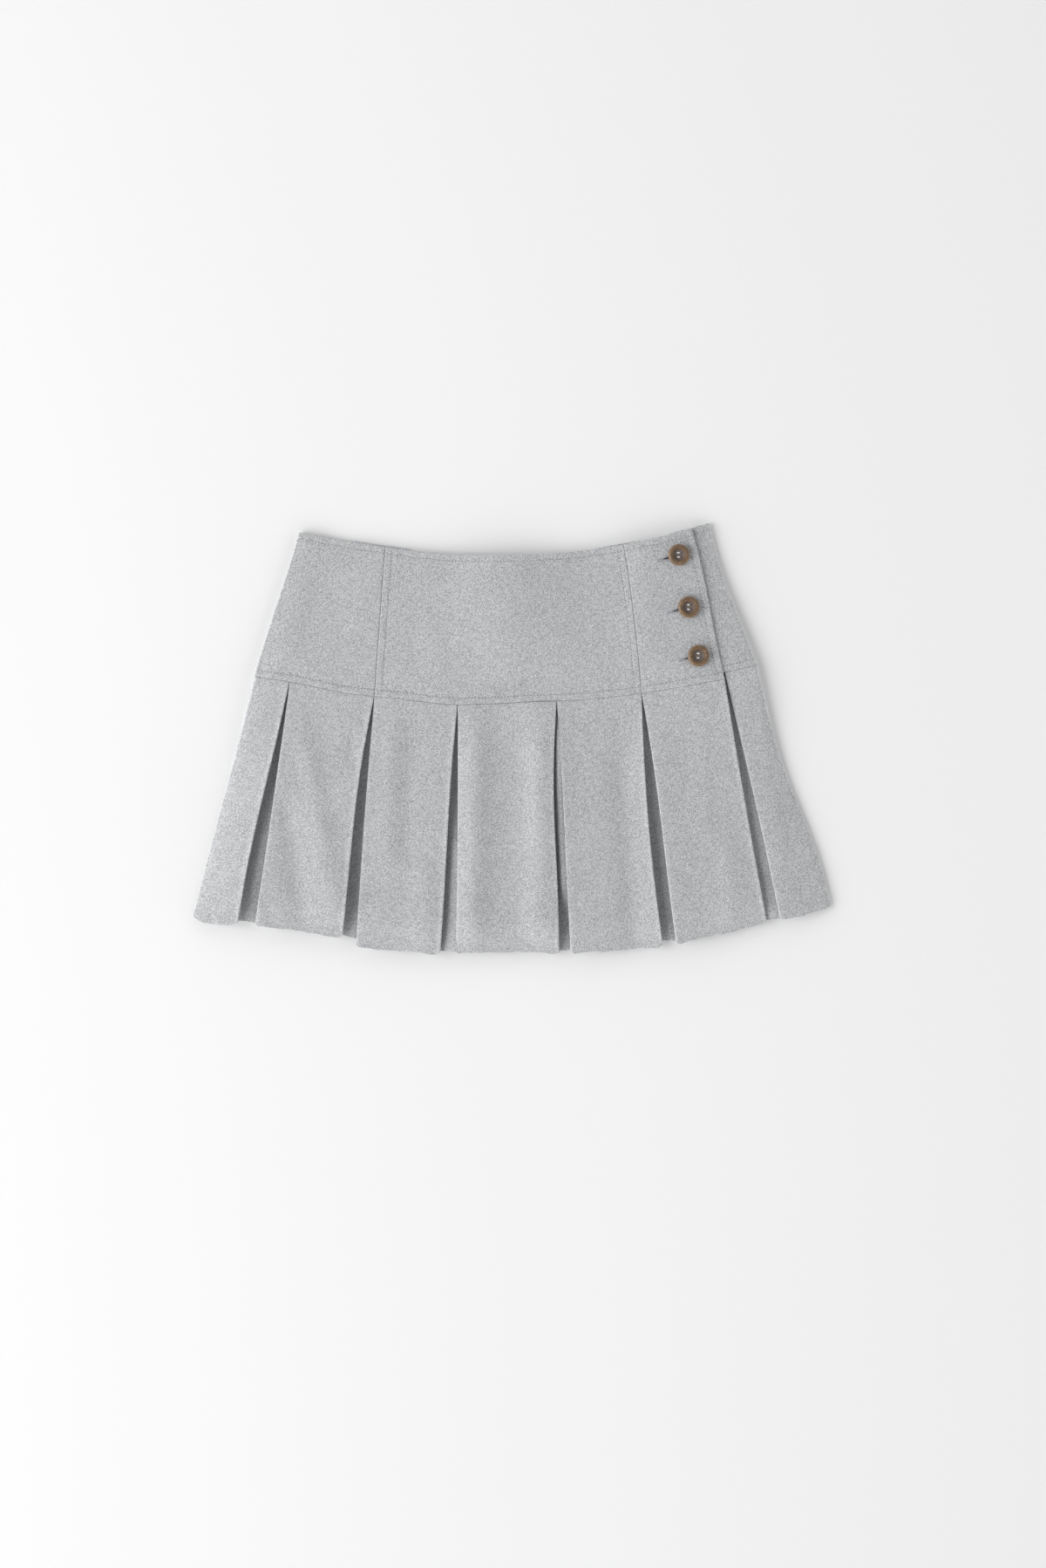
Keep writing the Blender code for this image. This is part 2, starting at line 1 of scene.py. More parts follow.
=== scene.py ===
"""The looks of a grey box-pleated mini skirt on a buttoned hip yoke, laid flat with its front up.

Frame: metres, +Z up, +Y towards the waist, +X towards the buttoned side, floor at 0. The skirt's own sizes
are in millimetres, scaled once, when a mesh is made. The floor's, lights' and camera's are in metres.
"""

import math
from collections import namedtuple

import bpy
import numpy as np
from mathutils import Matrix, Vector


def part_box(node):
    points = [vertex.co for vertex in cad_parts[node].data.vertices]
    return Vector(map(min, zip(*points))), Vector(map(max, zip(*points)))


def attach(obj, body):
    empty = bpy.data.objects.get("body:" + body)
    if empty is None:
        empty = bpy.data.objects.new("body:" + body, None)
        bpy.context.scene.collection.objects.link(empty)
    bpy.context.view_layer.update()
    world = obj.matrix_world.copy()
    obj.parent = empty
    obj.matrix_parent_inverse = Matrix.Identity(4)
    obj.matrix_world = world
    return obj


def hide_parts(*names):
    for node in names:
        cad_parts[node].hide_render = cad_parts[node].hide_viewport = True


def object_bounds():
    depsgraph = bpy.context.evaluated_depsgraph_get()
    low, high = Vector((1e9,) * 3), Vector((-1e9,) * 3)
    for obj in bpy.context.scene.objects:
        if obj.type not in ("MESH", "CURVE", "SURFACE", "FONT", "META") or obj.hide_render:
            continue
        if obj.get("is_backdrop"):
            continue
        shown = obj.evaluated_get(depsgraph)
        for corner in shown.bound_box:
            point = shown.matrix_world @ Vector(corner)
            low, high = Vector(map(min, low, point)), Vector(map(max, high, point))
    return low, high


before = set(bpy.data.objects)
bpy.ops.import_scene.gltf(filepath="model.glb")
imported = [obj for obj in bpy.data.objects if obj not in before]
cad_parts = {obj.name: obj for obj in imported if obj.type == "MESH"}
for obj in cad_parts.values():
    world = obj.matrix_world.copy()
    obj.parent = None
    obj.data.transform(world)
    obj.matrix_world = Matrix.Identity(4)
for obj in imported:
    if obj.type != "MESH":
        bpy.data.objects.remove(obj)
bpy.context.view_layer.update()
bpy.ops.object.select_all(action="DESELECT")


# ---------------------------------------------------------------- pleated front
# The front of the skirt is one length of light grey wool twill, pressed into flat panels with an inverted
# pleat between each two. The yoke's seam holds the folds shut, and they open towards the hem.
MM = 0.001
CLOTH = 0.7                              # a thin shell inside the solid's wall
PITCH = 0.95                             # from one folded layer to the next
LOWEST = 0.4                             # the middle of the cloth on the floor
BACK_OUTER, BACK_RETURN, BACK_UNDERLAY, FRONT_UNDERLAY, FRONT_RETURN = (
    LOWEST + PITCH * layer for layer in range(5)
)
FRONT_OUTER = 7.0                        # at the seam; the panels stand off the layers below them
FOLD_RADIUS = PITCH / 2
EDGE_INSET = FOLD_RADIUS + CLOTH / 2     # from a pleat's visible edge to the middle of that fold
TIP_INSET, RETURN_INSET = 0.5, 20.0      # how far from that edge the fold and a whole return count as lying
MOST_HIDDEN = 0.49                       # share of an underlay below each of the two panels
RETURN_AT_SEAM, RETURN_AT_HEM = 16.0, 24.0
GAP = 0.2                                # clear distance at a seam
SEAM_OPENING = 0.2                       # between two panels' edges where the yoke's seam holds them
SIDE_ROUNDNESS = 1.2                     # reach of a side fold against its half height
LEFT_DROP, LEFT_LATENESS = 4.8, 1.7      # how far a side panel comes down to its side fold, and how late
RIGHT_DROP, RIGHT_LATENESS = 1.5, 1.5
DROP_AT_SEAM = 0.4                       # share of that drop at the yoke's seam
DROP_BY, LIFT_BY, SAG_BY, ROLL_BY = 0.6, 0.5, 0.3, 0.1    # shares of the way down by which each is whole
SIDE_ROLL, SIDE_ROLL_REACH = 1.0, 9.0    # the side panels round off to the fold
EDGE_ROLL, EDGE_ROLL_REACH = 0.7, 3.6    # and so do the pressed left edges, which aren't sharp in wool
EDGE_CURL, EDGE_CURL_REACH = 1.1, 5.5    # the right ones curl up a little
TOE = 1.7                                # a side fold is low and flat at its foot
HEM_DROOP, DROOP_FROM = 3.0, 0.87        # the hem settles towards the table
LAST_DROOP = 0.2                         # share of it in the last panel, which lies on its own return
LAP, LAP_REACH, LAP_FADE = 1.4, 32.0, 0.3    # the placket and the panel sewn to it ride over the underlap
CORNER_RADIUS, CORNER_RISE = 4.5, 2.6    # rounding of a panel's corners at the hem
SIDE_CORNER_RADIUS, SIDE_CORNER_RISE = 9.0, 3.4
CORNERS_FROM = 0.92                      # share of the way down
SEAM_TUCK, SEAM_TUCK_REACH = 0.3, 2.0    # the panels' tops dip into the yoke's seam
CUT_EDGE, CUT_EDGE_REACH = 0.3, 0.7      # a rim's thickness, and how far in it grows full, in walls
SKIRT_LENGTH = 230.0
PANEL_WIDTH = 86.0
FAR = 99.0                               # from an edge: out of reach of its rounding

# Each panel's two edges lift towards the hem, it hangs through between them, and its hem hangs below the
# straight line between its corners.
PanelForm = namedtuple("PanelForm", "left_lift right_lift sag hem_sag")
PANEL_FORMS = (
    PanelForm(0.0, 4.2, 0.0, 2.5),
    PanelForm(4.4, 4.0, 1.0, -0.8),
    PanelForm(3.0, 2.6, 0.8, 0.0),
    PanelForm(2.0, 1.0, 0.6, -1.6),
    PanelForm(3.2, 2.8, 0.8, -0.2),
    PanelForm(4.2, 0.5, 0.8, 0.4),
    PanelForm(0.4, -2.0, 0.0, 1.4),
)

# A wave of cloth, 2 pi times its reach long. A hem is never straight.
Wave = namedtuple("Wave", "reach height start")
HEM_WAVES = (Wave(8.5, 0.35, 0.0), Wave(3.65, 0.25, 1.1), Wave(1.95, 0.15, 0.4))

# The front waist's edge, the yoke's seam with the skirt and the underlap's, from left to right.
WAIST = ((-197.0, 189.6), (-127.0, 177.6), (-73.0, 170.6), (-15.0, 168.0), (58.0, 172.0), (110.0, 180.0),
         (163.2, 192.8), (179.8, 198.4))
YOKE_SEAM = ((-238.4, 57.0), (-205.6, 52.5), (-151.0, 41.6), (-103.0, 36.6), (-55.0, 31.4), (9.0, 33.4),
             (62.0, 35.8), (117.6, 41.8), (193.8, 54.7))
UNDERLAP_SEAM = ((117.6, 47.0), (194.4, 61.0), (224.4, 67.4))

# A line down the garment: straight from top to bottom, but for a bow, a sway and a ripple to the side.
Line = namedtuple("Line", "top bottom bow sway ripple", defaults=(0.0,))
LEFT_SIDE = Line((-238.4, 56.8), (-295.0, -165.5), 0.2, 0.4)
RIGHT_SIDE = Line((224.4, 67.4), (292.2, -155.0), -2.4, -2.8, 1.0)

# Where an underlay rises towards the panel on its right: how high, and where down the pleat it does so.
Rise = namedtuple("Rise", "height start full until end")
FLAT = Rise(0.0, 0.0, 0.5, 1.0, 1.5)

# A pleat opens from one place on the yoke's seam to two edges, each with its foot on the hem, bow and sway.
# Its hidden folds end higher than the panels do, by its underlay's lift.
Pleat = namedtuple("Pleat", "seam_x left right underlay_lift rise")
Edge = namedtuple("Edge", "foot bow sway")
PLEATS = (
    Pleat(-205.4, Edge((-252.6, -170.3), -1.6, 0.9), Edge((-237.0, -171.5), 0.8, 0.0),
          4.0, Rise(1.9, 0.3, 0.75, 0.8, 1.05)),
    Pleat(-127.7, Edge((-156.8, -183.4), -3.3, -0.8), Edge((-144.4, -191.5), -0.7, 0.0),
          4.0, Rise(0.8, -0.2, 0.2, 1.1, 1.2)),
    Pleat(-51.2, Edge((-67.2, -198.4), -0.8, -0.5), Edge((-52.8, -197.8), 0.8, 0.0),
          1.5, Rise(3.2, 0.3, 0.66, 1.1, 1.2)),
    Pleat(39.8, Edge((42.0, -197.4), -3.0, -1.2), Edge((52.6, -197.6), 0.5, 0.3),
          1.5, Rise(4.4, -0.05, 0.2, 0.7, 0.9)),
    Pleat(117.6, Edge((137.2, -191.4), -3.6, 0.0), Edge((149.2, -188.6), 1.5, 0.6),
          3.3, FLAT),
    Pleat(193.8, Edge((232.8, -169.2), -0.9, 0.0), Edge((244.8, -165.9), 1.3, 0.0),
          2.5, Rise(1.0, 0.4, 0.8, 1.1, 1.2)),
)

# Soft ridges (height above 0) and troughs in the laid front, as the photograph's shading shows them.
Fold = namedtuple("Fold", "start end half_width height")
FOLD_FADE_IN, SKIRT_FADE_OUT = 0.3, 0.2  # shares of a fold's length over which it rises and dies away
UPPER_LAYER, UPPER_BLEND = 4.6, 1.6      # only cloth above this height has the folds
TOP_LAYER = 5.5                          # and only that above this one is tucked into the seam
SOFT_FOLDS = (
    Fold((-292.0, -140.0), (-277.0, -176.0), 6.0, -1.5),
    Fold((-199.0, 34.0), (-167.0, -118.0), 9.0, 1.4),
    Fold((-193.0, -40.0), (-156.0, -172.0), 13.0, 1.8),
    Fold((-214.0, -30.0), (-190.0, -185.0), 10.0, -1.5),
    Fold((-150.0, 10.0), (-147.0, -30.0), 5.0, -0.9),
    Fold((-240.0, -120.0), (-228.0, -180.0), 5.0, 0.8),
    Fold((-107.0, 50.0), (-115.0, -140.0), 12.0, 1.7),
    Fold((-96.0, 40.0), (-100.0, -120.0), 10.0, -0.8),
    Fold((-80.0, -90.0), (-84.0, -210.0), 13.0, 1.3),
    Fold((-34.0, 52.0), (-37.0, -215.0), 12.0, 3.7),
    Fold((25.0, 62.0), (29.0, -218.0), 16.0, 4.6),
    Fold((30.0, -120.0), (25.0, -225.0), 6.0, -0.9),
    Fold((97.0, 45.0), (114.0, -225.0), 13.0, -2.7),
    Fold((172.0, 20.0), (178.0, -110.0), 11.0, 1.0),
    Fold((196.0, -80.0), (203.0, -205.0), 13.0, 1.8),
    Fold((226.0, 75.0), (254.0, -190.0), 12.0, 0.9),
)


def mix(start, end, share):
    return start + (end - start) * share


def ease(share):
    """0 to 1 with level ends."""
    share = np.clip(share, 0, 1)
    return share * share * (3 - 2 * share)


def unit(vectors):
    return vectors / np.linalg.norm(vectors, axis=-1, keepdims=True)


def rounding(share):
    """How far a quarter circle has still to go, from 1 at its foot to 0."""
    return 1 - np.sqrt(1 - (1 - np.clip(share, 0, 1)) ** 2)


def ripple(x, waves):
    """Height of all the waves together at x."""
    return sum(wave.height * np.sin(x / wave.reach + wave.start) for wave in waves)


def through(points):
    """y of a smooth curve through the points, as a function of x."""
    xs, ys = np.array(points).T
    chord = np.diff(ys) / np.diff(xs)
    slope = np.concatenate([chord[:1], (chord[:-1] + chord[1:]) / 2, chord[-1:]])

    def height(x):
        i = np.clip(np.searchsorted(xs, x) - 1, 0, len(chord) - 1)
        t = (x - xs[i]) / (xs[i + 1] - xs[i])
        leave, arrive = slope[i] - chord[i], slope[i + 1] - chord[i]
        return ys[i] + (x - xs[i]) * (chord[i] + (1 - t) * (leave * (1 - t) - arrive * t))
    return height


def hanging(left, right, drop):
    """y of a shallow arc that hangs between two points, as a function of x."""
    def height(x):
        share = (x - left[0]) / (right[0] - left[0])
        return mix(left[1], right[1], share) - 4 * drop * share * (1 - share)
    return height


def below(curve, distance):
    return lambda x: curve(x) - distance


def bowed(line, v):
    waves = (line.bow, line.sway, line.ripple)
    return sum(height * np.sin(np.pi * (i + 1) * v) for i, height in enumerate(waves))


def spaced(length, near_start, near_end, step):
    """Distances along a length: those given from each end, with even steps between."""
    first, last = near_start[-1], length - near_end[-1]
    between = np.linspace(first, last, max(2, round((last - first) / step)) + 1)[1:-1]
    return np.concatenate([near_start, between, length - np.array(near_end)[::-1]])


class Panel:
    """A panel in plan, between two lines down the garment and two edges across it."""

    def __init__(self, left, right, top, bottom):
        self.left, self.right, self.top, self.bottom = left, right, top, bottom

    def point(self, share, v):
        top_x = mix(self.left.top[0], self.right.top[0], share) + 0 * v
        bottom_x = mix(self.left.bottom[0], self.right.bottom[0], share) + 0 * v
        x = mix(top_x, bottom_x, v) + mix(bowed(self.left, v), bowed(self.right, v), share)
        return np.stack([x, mix(self.top(top_x), self.bottom(bottom_x), v)], axis=-1)


class Rows:
    """All the rows across a panel, each a share v of the way down it."""

    EDGE_RUN = 10.0                      # a row's direction at its edges is taken over this length

    def __init__(self, panel, v):
        self.panel, self.v = panel, v
        left, right = panel.point(0.0, v), panel.point(1.0, v)
        self.width = np.linalg.norm(right - left, axis=1)
        near = self.EDGE_RUN / self.width
        self.from_left = unit(panel.point(near, v) - left)
        self.to_right = unit(right - panel.point(1 - near, v))

    def at(self, distance):
        """Plan points at a distance from the left edge, one for each row."""
        return self.panel.point(distance / self.width, self.v)


class Strip:
    """The middle of a strip of cloth: places along the strip, each with a point in every row down it."""

    def __init__(self, v):
        self.v, self.places, self.from_edge, self.middles, self.cuts = v, [], [], [], []

    def lay(self, plan, z, from_edge=FAR):
        z = np.broadcast_to(z, len(self.v))
        self.places.append(np.column_stack([plan, z]))
        self.from_edge.append(np.broadcast_to(from_edge, len(self.v)))

    def turn(self, start, end, along, bulge, z_from, z_to, reach, steps=6, from_edge=FAR, toe=1.0):
        """A fold bulging right (1) or left (-1) between the ends of two layers, without those two points."""
        reach = np.broadcast_to(reach, len(self.v))[:, None]
        for step in range(1, steps):
            angle = math.pi * step / steps
            share = (1 - math.cos(angle)) / 2
            plan = mix(start, end, share) + along * bulge * reach * math.sin(angle)
            risen = share ** toe if np.all(z_to > z_from) else 1 - (1 - share) ** toe
            self.lay(plan, mix(z_from, z_to, risen), from_edge)

    def centre(self):
        """The weave is laid out from this place."""
        self.middles.append(len(self.places))

    def cut(self):
        """The weave may jump here, where nothing shows it."""
        self.cuts.append(len(self.places))

    def grid(self):
        return np.array(self.places)


def front_panels():
    """The front panels from left to right. The last hangs from the underlap, whose seam lies higher."""
    yoke_seam, underlap_seam = below(through(YOKE_SEAM), GAP), below(through(UNDERLAP_SEAM), GAP)
    lefts, rights = [LEFT_SIDE], []
    for pleat in PLEATS:
        left_top, right_top = pleat.seam_x - SEAM_OPENING / 2, pleat.seam_x + SEAM_OPENING / 2
        rights.append(Line((left_top, float(yoke_seam(left_top))), *pleat.left))
        lefts.append(Line((right_top, float(yoke_seam(right_top))), *pleat.right))
    rights.append(RIGHT_SIDE)
    panels = []
    for left, right, form in zip(lefts, rights, PANEL_FORMS):
        seam = underlap_seam if right is RIGHT_SIDE else yoke_seam
        panels.append(Panel(left, right, seam, hanging(left.bottom, right.bottom, form.hem_sag)))
    return panels


FRONT_PANELS = front_panels()
LAST = len(FRONT_PANELS) - 1

# The points of the cloth's mesh lie closer at its edges. The underlay has a hidden part beside each fold.
POINT_STEP = 3.0
SKIRT_EDGE = (0.0, 0.12, 0.35, 0.7, 1.2, 2.2)
SKIRT_V = spaced(SKIRT_LENGTH, SKIRT_EDGE, SKIRT_EDGE, POINT_STEP) / SKIRT_LENGTH
NEAR_EDGE = (0.0, 0.5, 1.1, 1.8, 2.7, 4.0)
ACROSS_PANEL = spaced(PANEL_WIDTH, NEAR_EDGE, NEAR_EDGE, POINT_STEP) / PANEL_WIDTH
RETURN_SHARES = (0.0, 0.08, 0.3, 0.65, 1.0)
HIDDEN_SHARES = (0.0, 0.5, 0.93)
SHOWING_SHARES = (0.0, 0.2, 0.4, 0.6, 0.8, 1.0)
UNDERLAY_LIFTS = (0.0, 0.0, 0.0, 0.0, 0.35, 0.7, 0.9, 1.0, 1.0, 0.93, 0.5, 0.0)


def return_depth(v):
    return mix(RETURN_AT_SEAM, RETURN_AT_HEM, v)


def lap_at(place, width, v):
    """How far the placket, and the top of the panel sewn to it, ride over the underlap."""
    return LAP * ease(place / (width - LAP_REACH)) * (1 - ease(v / LAP_FADE))


def outer_height(number, rows, place):
    """Height of a front panel's outer layer at a place across it."""
    share, v, form = place / rows.width, rows.v, PANEL_FORMS[number]
    z = FRONT_OUTER + mix(form.left_lift, form.right_lift, share) * ease(v / LIFT_BY)
    for side, distance in ((0, place), (LAST, rows.width - place)):
        if number == side:
            deep, reach = SIDE_ROLL, SIDE_ROLL_REACH
        else:
            deep, reach = (EDGE_ROLL, EDGE_ROLL_REACH) if side == 0 else (-EDGE_CURL, EDGE_CURL_REACH)
        z = z - deep * np.clip(1 - distance / reach, 0, 1) ** 2 * ease(v / ROLL_BY)
    droop = HEM_DROOP * ease((v - DROOP_FROM) / (1 - DROOP_FROM))
    drop_share = mix(DROP_AT_SEAM, 1, ease(v / DROP_BY))
    if number == 0:
        return z - droop * share - LEFT_DROP * np.abs(1 - share) ** LEFT_LATENESS * drop_share
    if number == LAST:
        drop = RIGHT_DROP * np.abs(share) ** RIGHT_LATENESS * drop_share
        return z - droop * LAST_DROOP * (1 - share) - drop
    z = z - droop - form.sag * np.sin(np.pi * share) ** 2 * ease(v / SAG_BY)
    if number == LAST - 1:
        z = z + lap_at(place, rows.width, v)
    return z


def return_height(number, rows, place, depth_share):
    """Height of the return below a panel, from its visible edge to the hidden fold."""
    edge = EDGE_INSET if place < 0 else rows.width - EDGE_INSET
    hidden = FRONT_RETURN
    if number == LAST - 1 and place > 0:
        hidden = hidden + lap_at(rows.width - return_depth(rows.v), rows.width, rows.v)
    return mix(outer_height(number, rows, edge) - PITCH, hidden, depth_share)


def hidden_fold(rows, lift, side):
    """The middle of a pleat's hidden fold below the left (-1) or right (1) of a panel, lifted to the hem."""
    depth = return_depth(rows.v)
    plan = rows.at(depth if side < 0 else rows.width - depth)
    return plan + np.stack([0 * rows.v, lift * rows.v], axis=1)


def lay_outer(strip, number, rows, first, last):
    strip.cut()
    for i, share in enumerate(ACROSS_PANEL):
        if i == len(ACROSS_PANEL) // 2:
            strip.centre()
        place = mix(first, last, share)
        from_left, from_right = place if number > 0 else FAR, rows.width - place if number < LAST else FAR
        from_edge = np.minimum(from_left, from_right)
        strip.lay(rows.at(place), outer_height(number, rows, place), from_edge)


def lay_underlay(strip, start, end, depth, z, rise=FLAT):
    """A pleat's underlay, closer spaced where it shows in the opening."""
    v = strip.v
    height = rise.height * ease((v - rise.start) / (rise.full - rise.start))
    height = height * ease((rise.end - v) / (rise.end - rise.until))
    width = np.linalg.norm(end - start, axis=1)
    share = np.minimum(depth / width, MOST_HIDDEN)
    strip.cut()
    shares = [share * t for t in HIDDEN_SHARES]
    shares += [mix(share, 1 - share, t) for t in SHOWING_SHARES]
    shares += [1 - share * t for t in HIDDEN_SHARES[::-1]]
    for i, (t, lifted) in enumerate(zip(shares, UNDERLAY_LIFTS)):
        if i == len(shares) // 2:
            strip.centre()
        strip.lay(mix(start, end, t[:, None]), z + height * lifted)


def lay_fold_out(strip, number, rows, lift):
    """From the underlay, up round the hidden fold and the return to the left edge of the next panel."""
    hidden, edge = hidden_fold(rows, lift, -1), rows.at(EDGE_INSET)
    strip.turn(hidden, hidden, rows.from_left, 1, FRONT_UNDERLAY, FRONT_RETURN, FOLD_RADIUS)
    for share in RETURN_SHARES[::-1]:
        height = return_height(number, rows, -1, share)
        strip.lay(mix(edge, hidden, share), height, EDGE_INSET + RETURN_INSET * share)
    tip = outer_height(number, rows, EDGE_INSET)
    strip.turn(edge, edge, rows.from_left, -1, tip - PITCH, tip, FOLD_RADIUS, from_edge=TIP_INSET)


def lay_fold_in(strip, number, rows, lift):
    """From a panel's right edge, down round its fold and along the return to the hidden fold."""
    hidden, edge = hidden_fold(rows, lift, 1), rows.at(rows.width - EDGE_INSET)
    tip = outer_height(number, rows, rows.width - EDGE_INSET)
    strip.turn(edge, edge, rows.to_right, 1, tip, tip - PITCH, FOLD_RADIUS, from_edge=TIP_INSET)
    for share in RETURN_SHARES:
        height = return_height(number, rows, 1, share)
        strip.lay(mix(edge, hidden, share), height, EDGE_INSET + RETURN_INSET * share)
    return hidden


def side_inset(number, rows):
    """From a side's outline to where its layers lie flat."""
    edge = outer_height(number, rows, 0.0 if number == 0 else rows.width)
    return SIDE_ROUNDNESS * (edge - BACK_OUTER) / 2 + CLOTH / 2


def fold_softly(grid, folds, fade_out, share=1.0):
    """Adds soft ridges and troughs to a grid's heights; a share of them where the cloth is held down."""
    x, y = grid[..., 0], grid[..., 1]
    for fold in folds:
        start, run = np.array(fold.start), np.array(fold.end) - np.array(fold.start)
        length = np.linalg.norm(run)
        along = ((x - start[0]) * run[0] + (y - start[1]) * run[1]) / length
        aside = ((x - start[0]) * run[1] - (y - start[1]) * run[0]) / length
        fade = ease(along / (FOLD_FADE_IN * length)) * ease((length - along) / (fade_out * length))
        grid[..., 2] += share * fold.height * fade * np.exp(-(aside / fold.half_width) ** 2)


def round_corners(strip, grid):
    """The corners of the panels at the hem, which wear and press round."""
    rise = CORNER_RISE * rounding(np.array(strip.from_edge) / CORNER_RADIUS)
    hem_x = grid[:, -1:, 0]
    from_side = np.minimum(hem_x - LEFT_SIDE.bottom[0], RIGHT_SIDE.bottom[0] - hem_x)
    rise = rise + SIDE_CORNER_RISE * rounding(from_side / SIDE_CORNER_RADIUS) + ripple(hem_x, HEM_WAVES)
    grid[..., 1] += rise * ease((strip.v - CORNERS_FROM) / (1 - CORNERS_FROM))


def settle_skirt(strip):
    """The grid of a strip of the skirt, with its hem corners, soft folds and tuck into the yoke's seam."""
    grid = strip.grid()
    round_corners(strip, grid)
    upper = ease((grid[..., 2] - UPPER_LAYER) / UPPER_BLEND)
    fold_softly(grid, SOFT_FOLDS, SKIRT_FADE_OUT, upper)
    tuck = np.clip(1 - strip.v * SKIRT_LENGTH / SEAM_TUCK_REACH, 0, 1) ** 2
    grid[..., 2] -= SEAM_TUCK * tuck * ease(grid[..., 2] - TOP_LAYER)
    return grid


def running(grid, axis):
    """The distance run along the cloth to each of its points."""
    steps = np.linalg.norm(np.diff(grid, axis=axis), axis=2)
    return np.insert(np.cumsum(steps, axis=axis), 0, 0.0, axis=axis)


def weave_map(strip, grid, run, turned):
    """Where each point lies in the flat cloth, in metres. A panel's weave runs straight down its middle."""
    across = run.copy()
    bounds = [0, *[cut for cut in strip.cuts if cut > 0], len(grid)]
    for middle in strip.middles:
        first = max(bound for bound in bounds if bound <= middle)
        last = min(bound for bound in bounds if bound > middle)
        across[first:last] = run[first:last] - run[middle] + run[middle].mean()
    return np.stack([-across if turned else across, -running(grid, 1)], axis=-1).reshape(-1, 2) * MM


def shell_faces(count, rows):
    """Faces of a closed shell: an outer grid of points, an inner one after it, and the rim between them."""
    outer = np.arange(count * rows).reshape(count, rows)
    inner = outer + count * rows
    faces = []
    for corners in ((outer[:-1, :-1], outer[:-1, 1:], outer[1:, 1:], outer[1:, :-1]),
                    (inner[:-1, :-1], inner[1:, :-1], inner[1:, 1:], inner[:-1, 1:])):
        faces.append(np.stack(corners, axis=-1).reshape(-1, 4))
    for edge, other in ((outer[0], inner[0]), (outer[-1][::-1], inner[-1][::-1]),
                        (outer[::-1, 0], inner[::-1, 0]), (outer[:, -1], inner[:, -1])):
        faces.append(np.stack([edge[:-1], other[:-1], other[1:], edge[1:]], axis=-1))
    return np.concatenate(faces)


def linked(name, mesh, *materials):
    """A mesh as an object of the scene, in its materials."""
    for material in materials:
        mesh.materials.append(material)
    piece = bpy.data.objects.new(name, mesh)
    bpy.context.collection.objects.link(piece)
    return piece


def cloth_piece(name, strip, grid, wall, material, length, ends=(FAR, FAR), turned=False):
    """A closed thin shell round the middle surface, and the points and normals of its outer face."""
    along, down = np.gradient(grid, axis=0), np.gradient(grid, axis=1)
    normal = unit(np.cross(down, along))
    run = running(grid, 0)
    from_rim = np.minimum(strip.v, 1 - strip.v)[None, :] * length
    for end, distance in zip(ends, (run, run[-1] - run)):
        from_rim = np.minimum(from_rim, distance + end)
    thinned = rounding(from_rim / (CUT_EDGE_REACH * wall))
    half = wall / 2 * (1 - (1 - CUT_EDGE) * thinned)[..., None]
    outer, inner = grid + normal * half, grid - normal * half
    points = np.concatenate([outer.reshape(-1, 3), inner.reshape(-1, 3)]) * MM

    mesh = bpy.data.meshes.new(name)
    mesh.from_pydata(points.tolist(), [], shell_faces(*grid.shape[:2]).tolist())
    corners = np.empty(len(mesh.loops), int)
    mesh.loops.foreach_get("vertex_index", corners)
    uv = weave_map(strip, grid, run, turned)
    layer = mesh.uv_layers.new(name="weave")
    layer.data.foreach_set("uv", np.concatenate([uv, uv])[corners].astype(np.float32).ravel())
    mesh.shade_smooth()
    mesh.set_sharp_from_angle(angle=math.radians(60))
    return linked(name, mesh, material), outer, inner, normal


def linear(hex_colour):
    """Linear colour of an sRGB hex value."""
    parts = [int(hex_colour[i:i + 2], 16) / 255 for i in (0, 2, 4)]
    return tuple(p / 12.92 if p <= 0.04045 else ((p + 0.055) / 1.055) ** 2.4 for p in parts) + (1.0,)


def add(tree, kind, inputs=(), **settings):
    """A node with its settings, and its sockets set or linked."""
    made = tree.nodes.new("ShaderNode" + kind)
    for name, value in settings.items():
        setattr(made, name, value)
    for socket, value in dict(inputs).items():
        if isinstance(value, bpy.types.NodeSocket):
            tree.links.new(value, made.inputs[socket])
        else:
            made.inputs[socket].default_value = value
    return made


def new_material(name):
    """A material with its node tree and its shader."""
    made = bpy.data.materials.new(name)
    made.use_nodes = True
    return made, made.node_tree, made.node_tree.nodes["Principled BSDF"]


WOOL_SHADES = ("959799", "AFB0B2", "C9CACC")
TWILL_PITCH = 1.8                        # mm; the real twill is about 1 mm, too fine to show
TWILL_SLANT = -47.0                      # degrees
YARN = 0.8                               # mm; likewise drawn about twice as coarse
YARN_STREAK = 0.16                       # a yarn's thickness against the length of its slubs
FLOAT = (0.62, 0.44)                     # mm; one yarn's float in the twill, along its line and across it
TWILL_PATCH = 10.0                       # mm; the twill shows more in some places than in others
FLOAT_WEIGHT, TWILL_WEIGHT, CLOUD_WEIGHT = 2.8, 0.36, 0.5
DARKEST, LIGHTEST = 2.2, 3.05            # sums of the patterns that take the dark and the light shade


